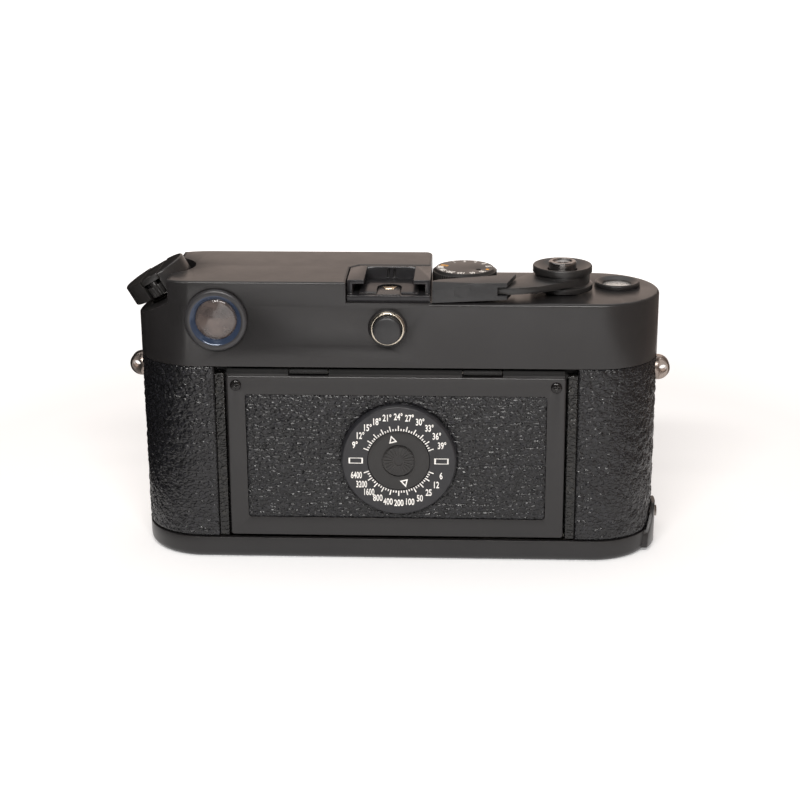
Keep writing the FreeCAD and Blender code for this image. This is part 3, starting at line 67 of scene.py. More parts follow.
# --- materials --------------------------------------------------------------
class Look:
    """A node material and the few node patterns that the looks are made of."""

    def __init__(self, name, color, roughness, metallic=0.0):
        self.mat = bpy.data.materials.new(name)
        self.mat.use_nodes = True
        self.nodes = self.mat.node_tree.nodes
        self.links = self.mat.node_tree.links
        self.shader = self.nodes["Principled BSDF"]
        self.shader.inputs["Base Color"].default_value = (*color, 1.0)
        self.shader.inputs["Roughness"].default_value = roughness
        self.shader.inputs["Metallic"].default_value = metallic
        self.coords = self.nodes.new("ShaderNodeTexCoord").outputs["Object"]
        self.normal = None

    def add(self, kind, settings=None, **inputs):
        node = self.nodes.new(kind)
        for key, value in (settings or {}).items():
            setattr(node, key, value)
        for key, value in inputs.items():
            socket = node.inputs[key.replace("_", " ")]
            if isinstance(value, bpy.types.NodeSocket):
                self.links.new(value, socket)
            else:
                socket.default_value = value
        return node

    def math(self, operation, a, b=0.0):
        node = self.nodes.new("ShaderNodeMath")
        node.operation = operation
        for socket, value in zip(node.inputs, (a, b)):
            if isinstance(value, bpy.types.NodeSocket):
                self.links.new(value, socket)
            else:
                socket.default_value = value
        return node.outputs[0]

    def height(self):
        """Height above the base, in metres."""
        return self.add("ShaderNodeSeparateXYZ", Vector=self.coords).outputs["Z"]

    def stretched(self, factors):
        node = self.add("ShaderNodeMapping", Vector=self.coords, Scale=factors)
        return node.outputs["Vector"]

    def noise(self, size, detail=3.0, stretch=None):
        """Soft noise whose blobs are about size metres across."""
        where = self.stretched(stretch) if stretch else self.coords
        node = self.add("ShaderNodeTexNoise", Vector=where, Scale=1.0 / size, Detail=detail)
        node.inputs["Roughness"].default_value = 0.55
        return node.outputs["Fac"]

    def cells(self, size, feature="F1", stretch=None):
        where = self.stretched(stretch) if stretch else self.coords
        node = self.add("ShaderNodeTexVoronoi", {"feature": feature}, Vector=where, Scale=1.0 / size)
        return node.outputs["Distance"]

    def span(self, value, low, high, to_low=0.0, to_high=1.0):
        node = self.add("ShaderNodeMapRange", {"clamp": True}, Value=value)
        for key, number in zip(("From Min", "From Max", "To Min", "To Max"), (low, high, to_low, to_high)):
            node.inputs[key].default_value = number
        return node.outputs["Result"]

    def tint(self, factor, first, second):
        node = self.add("ShaderNodeMix", {"data_type": "RGBA"})
        self.links.new(factor, node.inputs[0])
        for socket, value in ((node.inputs[6], first), (node.inputs[7], second)):
            if isinstance(value, bpy.types.NodeSocket):
                self.links.new(value, socket)
            else:
                socket.default_value = (*value, 1.0)
        return node.outputs[2]

    def bump(self, height, depth):
        """Adds a bump of the given depth in metres for a height of one."""
        node = self.add("ShaderNodeBump", Height=height, Distance=depth, Strength=1.0)
        if self.normal:
            self.links.new(self.normal, node.inputs["Normal"])
        self.normal = node.outputs["Normal"]
        self.links.new(self.normal, self.shader.inputs["Normal"])

    def edges(self, radius):
        """One on sharp edges, zero on flat surfaces."""
        soft = self.add("ShaderNodeBevel", {"samples": 4}, Radius=radius).outputs["Normal"]
        flat = self.nodes.new("ShaderNodeNewGeometry").outputs["Normal"]
        node = self.nodes.new("ShaderNodeVectorMath")
        node.operation = "DOT_PRODUCT"
        self.links.new(soft, node.inputs[0])
        self.links.new(flat, node.inputs[1])
        return self.span(node.outputs["Value"], 0.99, 0.90)

    def paint_with(self, color=None, roughness=None):
        if color is not None:
            self.links.new(color, self.shader.inputs["Base Color"])
        if roughness is not None:
            self.links.new(roughness, self.shader.inputs["Roughness"])
        return self

    def set(self, **inputs):
        for key, value in inputs.items():
            self.shader.inputs[key.replace("_", " ")].default_value = value
        return self


def coated_metal(name, color, worn, roughness, grain=0.25 * MM, depth=0.004 * MM, wear=0.5, metallic=0.0):
    """Paint or anodising: faint mottling, fine grain and rubbed edges."""
    look = Look(name, color, roughness, metallic)
    cloud = look.noise(14 * MM, 4)
    fine = look.noise(grain, 2)
    rubbed = look.math("MULTIPLY", look.edges(0.18 * MM), look.span(look.noise(2.5 * MM, 4), 0.42, 0.62))
    rubbed = look.math("MULTIPLY", rubbed, wear)
    darker = tuple(0.9 * c for c in color)
    base = look.tint(look.span(cloud, 0.3, 0.7), darker, tuple(1.1 * c for c in color))
    rough = look.span(look.noise(5 * MM, 5), 0.3, 0.7, roughness - 0.02, roughness + 0.03)
    look.paint_with(look.tint(rubbed, base, worn), rough)
    look.bump(fine, depth)
    return look


def bare_metal(name, color, roughness, brushing=(1, 1, 1), grain=0.2 * MM, depth=0.003 * MM):
    """Bare or plated metal with fine lines along the short way of the brushing."""
    look = Look(name, color, roughness, 1.0)
    lines = look.noise(grain, 3, stretch=brushing)
    stain = look.span(look.noise(3 * MM, 4), 0.35, 0.7)
    base = look.tint(stain, color, tuple(0.78 * c for c in color))
    rough = look.span(look.math("ADD", look.math("MULTIPLY", lines, 0.5), look.math("MULTIPLY", stain, 0.3)),
                      0.1, 0.7, roughness - 0.08, roughness + 0.12)
    look.paint_with(base, rough)
    look.bump(lines, depth)
    return look


def turned_metal(name, color, roughness, centre, axis, pitch=0.12 * MM, depth=0.004 * MM, metallic=1.0):
    """Metal with lathe rings round an axis through centre."""
    look = Look(name, color, roughness, metallic)
    offset = look.nodes.new("ShaderNodeVectorMath")
    offset.operation = "SUBTRACT"
    look.links.new(look.coords, offset.inputs[0])
    offset.inputs[1].default_value = centre
    across = look.nodes.new("ShaderNodeVectorMath")
    across.operation = "CROSS_PRODUCT"
    look.links.new(offset.outputs[0], across.inputs[0])
    across.inputs[1].default_value = axis
    length = look.nodes.new("ShaderNodeVectorMath")
    length.operation = "LENGTH"
    look.links.new(across.outputs[0], length.inputs[0])
    radius = length.outputs["Value"]
    rings = look.add("ShaderNodeTexNoise", {"noise_dimensions": "1D"}, W=radius, Scale=1.0 / pitch,
                     Detail=2.0)
    stain = look.span(look.noise(2 * MM, 4), 0.35, 0.65)
    look.paint_with(look.tint(stain, color, tuple(0.8 * c for c in color)),
                    look.span(rings.outputs["Fac"], 0.3, 0.7, roughness - 0.06, roughness + 0.08))
    look.bump(rings.outputs["Fac"], depth)
    look.radius = radius
    return look


def grained_leather(name, color, painted_glint, roughness):
    """Leather over real wrinkles: pores and fine creases; random patches are painted lighter and bluer as painted
    glint, and the crease lines are painted darker as painted shade.
    """
    look = Look(name, color, roughness)
    pores = look.span(look.cells(0.75 * MM), 0.0, 0.6, 1.0, 0.0)
    creases = look.span(look.cells(1.25 * MM, "DISTANCE_TO_EDGE", (0.8, 1, 1.25)), 0.0, 0.22)
    # Painted glint: noise patches are painted lighter and bluer, towards the glint colour.
    high = look.span(look.noise(1.3 * MM, 4), 0.42, 0.68)
    base = look.tint(high, color, painted_glint)
    # Painted shade: the crease lines are painted at 0.4 of the leather's colour.
    look.paint_with(look.tint(creases, tuple(0.4 * c for c in color), base),
                    look.span(look.noise(0.8 * MM, 3), 0.3, 0.7, roughness - 0.08, roughness + 0.12))
    look.bump(pores, 0.05 * MM)
    look.bump(creases, 0.09 * MM)
    look.set(Specular_IOR_Level=0.52)
    return look


def plastic(name, color, roughness, depth=0.006 * MM):
    look = Look(name, color, roughness)
    fine = look.noise(0.18 * MM, 3)
    cloud = look.span(look.noise(4 * MM, 3), 0.3, 0.7)
    look.paint_with(look.tint(cloud, color, tuple(1.3 * c for c in color)),
                    look.span(fine, 0.3, 0.7, roughness - 0.06, roughness + 0.06))
    look.bump(fine, depth)
    return look


def clear_glass(name, color):
    look = Look(name, color, 0.02)
    look.set(Transmission_Weight=1.0, IOR=1.5)
    look.paint_with(None, look.span(look.noise(3 * MM, 5), 0.45, 0.75, 0.02, 0.08))
    return look


def matt(name, color, roughness=0.8, size=0.3 * MM, depth=0.01 * MM):
    look = Look(name, color, roughness)
    fine = look.noise(size, 4)
    look.paint_with(look.tint(fine, tuple(0.7 * c for c in color), tuple(1.2 * c for c in color)),
                    look.span(fine, 0.3, 0.7, roughness - 0.1, roughness + 0.1))
    look.bump(fine, depth)
    return look


# --- the looks of the CAD nodes ---------------------------------------------
def middle(node):
    low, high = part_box(node)
    return (low + high) / 2


BLACK = (0.0175, 0.0165, 0.0168)
RUBBED = (0.13, 0.118, 0.108)
SELECTOR = middle("film_speed_ring")
LENS = middle("lens_mount_ring")
HUB = middle("shutter_button")
SPEED = middle("speed_dial")
SYNC = middle("sync_socket")
EYE = middle("eyepiece_ring")
COUNTER = middle("counter_bezel")

CONTACT_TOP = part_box("shoe_contact")[1].z - 0.12 * MM
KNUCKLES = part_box("door_hinge_bracket")[0].z + 0.1 * MM      # the door's top edge is below this height
CONE_RADIUS = 6.7 * MM                                       # of the coated cone in the eyepiece ring
COLLAR_RADIUS = 4.45 * MM                                    # of the sync socket's bright collar
NICKEL = (0.60, 0.54, 0.45)
CONTACT = (0.72, 0.60, 0.44)
CHROME = (0.62, 0.60, 0.57)

looks = {
    "black_paint": coated_metal("satin_black_paint", BLACK, RUBBED, 0.33, 0.22 * MM, 0.0025 * MM),
    "black_leather": grained_leather("black_leather", (0.010, 0.010, 0.0115), (0.017, 0.017, 0.021), 0.28),
    "black_anodised": coated_metal("black_anodised", (0.019, 0.018, 0.0175), RUBBED, 0.34,
                                   0.16 * MM, 0.0025 * MM),
    "chassis_black": matt("light_proof_black", (0.022, 0.022, 0.022)),
    "steel": bare_metal("plain_steel", (0.42, 0.39, 0.36), 0.34, (1, 1, 6)),
    "chrome_plate": bare_metal("bright_chrome", (0.66, 0.64, 0.62), 0.16, (1, 6, 6), 0.3 * MM, 0.001 * MM),
    "black_steel": coated_metal("blackened_steel", (0.024, 0.023, 0.025), (0.30, 0.28, 0.26), 0.30,
                                0.3 * MM, 0.003 * MM, 0.9, 0.35),
    "brass_part": bare_metal("plain_brass", (0.62, 0.46, 0.22), 0.28),
    "black_plastic": plastic("black_plastic", (0.020, 0.020, 0.021), 0.42),
    "white_disc": plastic("white_disc", (0.78, 0.76, 0.72), 0.45),
    "clear_glass": clear_glass("coated_glass", (0.86, 0.84, 0.82)),
    "circuit": plastic("circuit_board", (0.03, 0.12, 0.06), 0.35),
    "cloth": matt("rubberised_cloth", (0.018, 0.018, 0.019), 0.75, 0.15 * MM, 0.02 * MM),
    "cell": bare_metal("cell_steel", (0.55, 0.55, 0.54), 0.25),
}


def eyepiece_look():
    """Black outer ring; the cone inside it carries a bluish coating."""
    look = turned_metal("eyepiece_coated", (0.036, 0.036, 0.038), 0.34, EYE, (0, 1, 0),
                        0.3 * MM, 0.002 * MM, 0.2)
    cone = look.span(look.radius, CONE_RADIUS + 0.05 * MM, CONE_RADIUS - 0.1 * MM)
    look.paint_with(look.tint(cone, (0.040, 0.039, 0.041), (0.036, 0.052, 0.090)),
                    look.span(cone, 0.0, 1.0, 0.36, 0.16))
    return look


def eyepiece_glass_look():
    """Coated ocular: its dim warm colour and soft blotches are a painted view of the finder's inside, over glass
    that lets part of the light through.
    """
    look = Look("eyepiece_glass", (0.16, 0.128, 0.118), 0.05)
    look.set(Transmission_Weight=0.45, IOR=1.5, Specular_IOR_Level=0.6)
    # Painted view: noise blotches stand for the dim warm finder interior seen through the ocular.
    inside = look.span(look.noise(4 * MM, 2), 0.35, 0.65)
    look.paint_with(look.tint(inside, (0.105, 0.088, 0.084), (0.19, 0.152, 0.138)),
                    look.span(look.noise(2.5 * MM, 4), 0.4, 0.7, 0.04, 0.10))
    return look


def socket_look():
    """Nickel collar inside a black flange."""
    look = turned_metal("socket_nickel", NICKEL, 0.24, SYNC, (0, 1, 0))
    flange = look.span(look.radius, COLLAR_RADIUS, COLLAR_RADIUS + 0.05 * MM)
    look.paint_with(look.tint(flange, NICKEL, BLACK), look.span(flange, 0.0, 1.0, 0.24, 0.38))
    look.links.new(look.span(flange, 0.0, 1.0, 1.0, 0.0), look.shader.inputs["Metallic"])
    return look


def contact_look():
    """Hot-shoe tongue: dark below, a bright contact where it is raised."""
    look = bare_metal("contact_metal", CONTACT, 0.26)
    low_tongue = look.span(look.height(), CONTACT_TOP, CONTACT_TOP - 0.02 * MM)
    look.paint_with(look.tint(low_tongue, CONTACT, (0.032, 0.030, 0.031)))
    look.links.new(look.span(low_tongue, 0.0, 1.0, 1.0, 0.0), look.shader.inputs["Metallic"])
    return look


def door_look():
    """Satin paint; the hinge knuckles above the door's top edge are painted near-black and rough, as painted shade
    for the shadowed hinge band.
    """
    look = coated_metal("door_paint_with_painted_hinge_shade", BLACK, RUBBED, 0.33, 0.22 * MM, 0.0025 * MM)
    # Painted shade: above this height the door turns near-black, standing in for the shadow under the top cover.
    knuckle_painted_shade = look.span(look.height(), KNUCKLES, KNUCKLES + 0.05 * MM)
    paint = look.shader.inputs["Base Color"].links[0].from_socket
    look.paint_with(look.tint(knuckle_painted_shade, paint, (0.002, 0.002, 0.002)),
                    look.span(knuckle_painted_shade, 0.0, 1.0, 0.33, 0.8))
    return look


window_look = clear_glass("counter_window", (0.95, 0.93, 0.9)).set(Transmission_Weight=0.0, Alpha=0.18)
own = {
    "shutter_button": turned_metal("turned_chrome", (0.36, 0.34, 0.33), 0.28, HUB, (0, 0, 1),
                                   0.25 * MM, 0.004 * MM),
    "lens_mount_ring": turned_metal("turned_mount", CHROME, 0.20, LENS, (0, 1, 0), 0.3 * MM),
    "film_speed_ring": turned_metal("speed_ring_black", (0.022, 0.022, 0.025), 0.34, SELECTOR, (0, 1, 0),
                                    0.2 * MM, 0.002 * MM, 0.0),
    "counter_window": window_look,
    "strap_lugs": bare_metal("lug_steel", (0.34, 0.29, 0.26), 0.30, (3, 1, 3)),
    "eyepiece_ring": eyepiece_look(),
    "eyepiece_lens": eyepiece_glass_look(),
    "sync_socket": socket_look(),
    "door_side_rails": grained_leather("rail_grain", (0.006, 0.006, 0.006), (0.02, 0.018, 0.015), 0.24),
    "door_screws": coated_metal("screw_black", (0.012, 0.011, 0.011), RUBBED, 0.2,
                                0.2 * MM, 0.002 * MM, 1.0, 0.3),
    "shoe_contact": contact_look(),
    "back_door": door_look(),
    # The hinge bracket is painted near-black, darker than the paint: painted shade for the shadowed hinge band.
    "door_hinge_bracket": matt("hinge_painted_shade", (0.004, 0.004, 0.004), 0.7),
}

slot_of = {row["node"]: row.get("material_slot") for row in frame["record"]["subparts"]}
for node, thing in NODES.items():
    look = own.get(node) or looks[slot_of[node]]
    thing.data.materials.clear()
    thing.data.materials.append(look.mat)


# --- soft edges on the CAD nodes ---------------------------------------------
ROUNDED = {
    "top_cover": 0.12, "baseplate": 0.12, "back_door": 0.08, "accessory_shoe": 0.14, "lever_tip": 0.22,
    "advance_lever": 0.14, "speed_dial": 0.06, "rewind_knob": 0.12, "rewind_crank": 0.12, "crank_grip": 0.05,
    "film_speed_ring": 0.10, "film_speed_dial": 0.05, "sync_cap": 0.12, "counter_bezel": 0.06,
    "shutter_button": 0.10, "strap_lugs": 0.25, "frame_selector_lever": 0.2, "rewind_release_lever": 0.2,
    "base_lock_key": 0.15, "base_lock_bail": 0.12, "lens_release_guard": 0.12, "battery_cap": 0.12,
    "shoe_contact": 0.05, "shoe_spring": 0.05, "door_hinge_bracket": 0.06, "lens_mount_ring": 0.08,
    "pressure_plate": 0.25, "take_up_spool": 0.15, "chassis": 0.08,
}


def soften(thing, width):
    """Joins the faces and bevels the sharp edges without touching the node's own mesh."""
    weld = thing.modifiers.new("weld", "WELD")
    weld.merge_threshold = 0.002 * MM
    if width:
        bevel = thing.modifiers.new("bevel", "BEVEL")
        bevel.width = width * MM
        bevel.segments = 2
        bevel.limit_method = "ANGLE"
        bevel.angle_limit = math.radians(32)
        bevel.harden_normals = False
        bevel.use_clamp_overlap = True


for node, thing in NODES.items():
    if thing.data.has_custom_normals:
        attribute = thing.data.attributes.get("custom_normal")
        if attribute:
            thing.data.attributes.remove(attribute)
    soften(thing, ROUNDED.get(node, 0.0))
    thing.data.polygons.foreach_set("use_smooth", [True] * len(thing.data.polygons))
    thing.data.set_sharp_from_angle(angle=math.radians(28))


# --- patterns for real relief -------------------------------------------------
def soft_noise(u, v, size, seed):
    """Smooth random field from 0 to 1 over the points (u, v), in the same unit as size."""
    table = np.random.default_rng(seed).random((257, 257))
    x, y = u / size + 40.0, v / size + 40.0
    i, j = np.floor(x).astype(int), np.floor(y).astype(int)
    fx, fy = x - i, y - j
    fx, fy = fx * fx * (3 - 2 * fx), fy * fy * (3 - 2 * fy)
    i, j = i % 256, j % 256
    low = table[i, j] * (1 - fx) + table[i + 1, j] * fx
    high = table[i, j + 1] * (1 - fx) + table[i + 1, j + 1] * fx
    return low * (1 - fy) + high * fy


def cell_fields(u, v, size, seed):
    """Distance to the nearest cell centre, and how much further the next one is, in cells."""
    jitter = np.random.default_rng(seed).random((256, 256, 2))
    x, y = u / size + 60.0, v / size + 60.0
    i, j = np.floor(x).astype(int), np.floor(y).astype(int)
    first = np.full(u.shape, 9.0)
    second = np.full(u.shape, 9.0)
    for di in (-1, 0, 1):
        for dj in (-1, 0, 1):
            spot = jitter[(i + di) % 256, (j + dj) % 256]
            d = np.hypot(i + di + spot[..., 0] - x, j + dj + spot[..., 1] - y)
            second = np.minimum(second, np.maximum(first, d))
            first = np.minimum(first, d)
    return first, second - first


def grain(u, v, size, stretch, turn, seed, crease_width=0.24):
    """Leather grain: pillows between creases. Stretch lengthens the pillows along turn, in radians."""
    bend = 0.7 * size
    a = u + bend * (soft_noise(u, v, 2.6 * size, seed + 1) - 0.5) * 2
    b = v + bend * (soft_noise(u, v, 2.6 * size, seed + 2) - 0.5) * 2
    c, s = np.cos(turn), np.sin(turn)
    p = (c * a + s * b) / stretch
    q = -s * a + c * b
    near, lead = cell_fields(p, q, size, seed)
    crease = np.exp(-((lead / crease_width) ** 2))
    return (1 - 0.8 * near) * 0.5 - 0.9 * crease


# --- leather pieces -------------------------------------------------------------
def smooth_step(x, low, high):
    t = np.clip((x - low) / (high - low), 0, 1)
    return t * t * (3 - 2 * t)


def leather_sheet(name, across, along, spacing, holes, place, relief, thick):
    """A closed sheet of leather, grained on its outer side.

    across and along are the (low, high) of its two directions, in metres. holes are circles
    (u, v, radius) cut from it. place(u, v, out) gives the points in space; relief(u, v) is the height
    of the grain, which dies out towards every edge, where the sheet dips as if it were rolled over."""
    nu = int(round((across[1] - across[0]) / spacing)) + 1
    nv = int(round((along[1] - along[0]) / spacing)) + 1
    u, v = np.meshgrid(np.linspace(*across, nu), np.linspace(*along, nv), indexing="ij")
    keep = np.ones(u.shape, bool)
    for cu, cv, radius in holes:
        d = np.hypot(u - cu, v - cv)
        inside = d < radius
        near = inside & (d > radius - 1.6 * spacing)
        scale = np.where(near, radius / np.maximum(d, 1e-9), 1.0)
        keep &= ~(inside & ~near)
        u = np.where(near, cu + (u - cu) * scale, u)
        v = np.where(near, cv + (v - cv) * scale, v)
    edge = np.minimum(np.minimum(u - across[0], across[1] - u), np.minimum(v - along[0], along[1] - v))
    for cu, cv, radius in holes:
        edge = np.minimum(edge, np.hypot(u - cu, v - cv) - radius)
    edge = np.maximum(edge, 0)
    dip = 0.30 * MM * (1 - smooth_step(edge, 0, 0.55 * MM))
    height = relief(u, v) * smooth_step(edge, 0, 0.4 * MM) - dip
    top = place(u, v, height)
    low = place(u, v, np.full(u.shape, -thick))
    index = np.arange(nu * nv).reshape(nu, nv)
    whole = keep[:-1, :-1] & keep[1:, :-1] & keep[1:, 1:] & keep[:-1, 1:]
    quads = np.stack([index[:-1, :-1], index[1:, :-1], index[1:, 1:], index[:-1, 1:]], -1)[whole]
    under = quads[:, ::-1] + nu * nv
    faces = np.concatenate([quads, under])
    edges = np.concatenate([quads[:, [0, 1]], quads[:, [1, 2]], quads[:, [2, 3]], quads[:, [3, 0]]])
    key = np.sort(edges, 1)
    order = key[:, 0].astype(np.int64) * (nu * nv) + key[:, 1]
    _, where, counts = np.unique(order, return_index=True, return_counts=True)
    rim = edges[where[counts == 1]]
    walls = np.stack([rim[:, 1], rim[:, 0], rim[:, 0] + nu * nv, rim[:, 1] + nu * nv], -1)
    faces = np.concatenate([faces, walls])
    points = np.concatenate([top.reshape(-1, 3), low.reshape(-1, 3)])
    used = np.zeros(len(points), bool)
    used[faces.ravel()] = True
    renumber = np.cumsum(used) - 1
    return mesh_piece(name, points[used], renumber[faces])


def mesh_piece(name, points, faces):
    mesh = bpy.data.meshes.new(name)
    mesh.vertices.add(len(points))
    mesh.vertices.foreach_set("co", np.asarray(points, np.float32).ravel())
    faces = np.asarray(faces)
    corners = faces.shape[1]
    mesh.loops.add(faces.size)
    mesh.loops.foreach_set("vertex_index", faces.ravel().astype(np.int32))
    mesh.polygons.add(len(faces))
    mesh.polygons.foreach_set("loop_start", np.arange(0, faces.size, corners, dtype=np.int32))
    mesh.polygons.foreach_set("use_smooth", np.ones(len(faces), bool))
    mesh.update(calc_edges=True)
    mesh.validate()
    piece = bpy.data.objects.new(name, mesh)
    bpy.context.scene.collection.objects.link(piece)
    return piece


def dress(piece, look, body):
    piece.data.materials.clear()
    piece.data.materials.append(look.mat)
    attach(piece, body)
    return piece


# The door's panel: small grain, with long level creases.
DOOR_GRID = 0.245 * MM
inset_low, inset_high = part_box("door_covering")
ring_low, ring_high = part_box("film_speed_ring")
ring_radius = (ring_high.x - ring_low.x) / 2


def door_relief(u, v):
    mm_u, mm_v = u / MM, v / MM
    fine = grain(mm_u, mm_v, 0.95, 1.8, 0.0, 11, 0.42)
    woven = grain(mm_u, mm_v, 0.7, 1.3, math.radians(88), 23, 0.4)
    folds = np.abs(soft_noise(mm_u, mm_v, 6.0, 31) - 0.5) * 2
    rows = np.abs(np.sin(math.pi * (mm_v / 2.2 + 1.4 * soft_noise(mm_u * 0.35, mm_v, 5.0, 37))))
    level = -np.exp(-((rows / 0.22) ** 2)) * smooth_step(soft_noise(mm_u * 0.5, mm_v, 5.0, 41), 0.3, 0.5)
    return (0.24 * fine + 0.06 * woven + 0.26 * level + 0.08 * folds - 0.10) * MM


def on_door(u, v, out):
    return np.stack([u, inset_high.y + out, v], -1)


door_leather = leather_sheet(
    "door_leather",
    (inset_low.x, inset_high.x),
    (inset_low.z, inset_high.z),
    DOOR_GRID,
    [(SELECTOR.x, SELECTOR.z, ring_radius)],
    on_door,
    door_relief,
    inset_high.y - inset_low.y,
)
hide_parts("door_covering")
dress(door_leather, looks["black_leather"], "back_door")

# The casing's wraps: they start beside the door rails, go round the ends and meet the lens mount.
SKIN = 0.5 * MM               # leather's thickness under its grain
CLEAR = 0.25 * MM             # gap round a fitting
RAIL_GAP = 0.3 * MM
LUG_FOOT, PIVOT_FOOT, STUD_FOOT = 3.4 * MM, 1.9 * MM, 1.7 * MM
WRAP_GRID = 0.33 * MM
wrap_low, wrap_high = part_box("body_covering")
rail_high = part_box("door_side_rails")[1]
end_radius = wrap_high.y
end_centre = wrap_high.x - end_radius
wrap_start = rail_high.x + RAIL_GAP
flat_run = end_centre - wrap_start
arc_run = math.pi * end_radius


def run_at(x):
    """Distance along a wrap of a point on the lens side at |x|."""
    return flat_run + arc_run + end_centre - x


def place_wrap(side):
    """Points of a wrap: flat, then round the end, then flat again on the lens side."""
    def place(u, v, out):
        turn = np.clip((u - flat_run) / end_radius, 0, math.pi)
        radius = end_radius + out
        x = end_centre + radius * np.sin(turn)
        y = radius * np.cos(turn)
        x = np.where(u < flat_run, wrap_start + u, x)
        x = np.where(u > flat_run + arc_run, end_centre - (u - flat_run - arc_run), x)
        return np.stack([side * x, y, v], -1)

    return place


def wrap_relief(side):
    """Grain of a wrap: curved wrinkles on the rewind side, larger and sparser ones on the other."""
    def relief(u, v):
        mm_u, mm_v = u / MM, v / MM
        seed = 100 if side > 0 else 200
        size, crease, depth = (1.15, 0.5, 0.28) if side > 0 else (1.9, 0.36, 0.34)
        sweep = (soft_noise(mm_u, mm_v, 14.0, seed + 3) - 0.5) * 2.2
        large = grain(mm_u, mm_v, size, 2.0, math.radians(70), seed, crease)
        small = grain(mm_u, mm_v, 0.75, 1.3, math.radians(20), seed + 7)
        waves = mm_u * np.cos(sweep) + mm_v * np.sin(sweep)
        ridged = 1 - np.abs(soft_noise(waves * 2.2, mm_v * 0.5, 3.4, seed + 9) - 0.5) * 2
        patch = smooth_step(soft_noise(mm_u, mm_v, 9.0, seed + 5), 0.35, 0.7)
        return (depth * large * (0.5 + 0.5 * patch) + 0.07 * small + 0.16 * (ridged - 0.7)) * MM

    return relief


lens_ring_low, lens_ring_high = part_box("lens_mount_ring")
lens_hole = (lens_ring_high.x - lens_ring_low.x) / 2 + CLEAR


def round_hole(node, side):
    """Hole in a wrap's own directions round a fitting on the lens side."""
    low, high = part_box(node)
    centre = (low + high) / 2
    return (run_at(side * centre.x), centre.z, (high.x - low.x) / 2 + CLEAR)


def pivot_hole(name, side):
    """Hole in a wrap round the pivot of a lever on the lens side."""
    x, _, z = JOINTS[name]["pos_m"]
    return (run_at(side * x), z, PIVOT_FOOT)


for side, label in ((1, "rewind_side"), (-1, "wind_side")):
    lug = middle("strap_lugs").z
    holes = [(run_at(side * LENS.x), LENS.z, lens_hole), (flat_run + arc_run / 2, lug, LUG_FOOT + CLEAR)]
    if side > 0:
        holes.append(round_hole("battery_cap", side))
        holes.append(pivot_hole("frame_selector_swing", side))
    else:
        holes.append(round_hole("lens_release_guard", side))
        holes.append(pivot_hole("rewind_release_swing", side))
        holes.append((flat_run + arc_run / 2, middle("baseplate_stud").z, STUD_FOOT))
    far = run_at(side * LENS.x)
    wrap = leather_sheet(
        "leather_" + label,
        (0.0, far),
        (wrap_low.z, wrap_high.z),
        WRAP_GRID,
        holes,
        place_wrap(side),
        wrap_relief(side),
        SKIN,
    )
    if side < 0:
        wrap.data.flip_normals()
    if side > 0:
        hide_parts("body_covering")
    dress(wrap, looks["black_leather"], "camera_body")


# --- markings -----------------------------------------------------------------------
WHITE = plastic("engraved_white", (0.80, 0.78, 0.74), 0.5, 0.002 * MM)
ORANGE = plastic("engraved_orange", (0.85, 0.38, 0.04), 0.5, 0.002 * MM)
RED = plastic("index_red", (0.55, 0.02, 0.02), 0.3, 0.002 * MM)
INK = plastic("printed_black", (0.02, 0.02, 0.02), 0.5, 0.002 * MM)


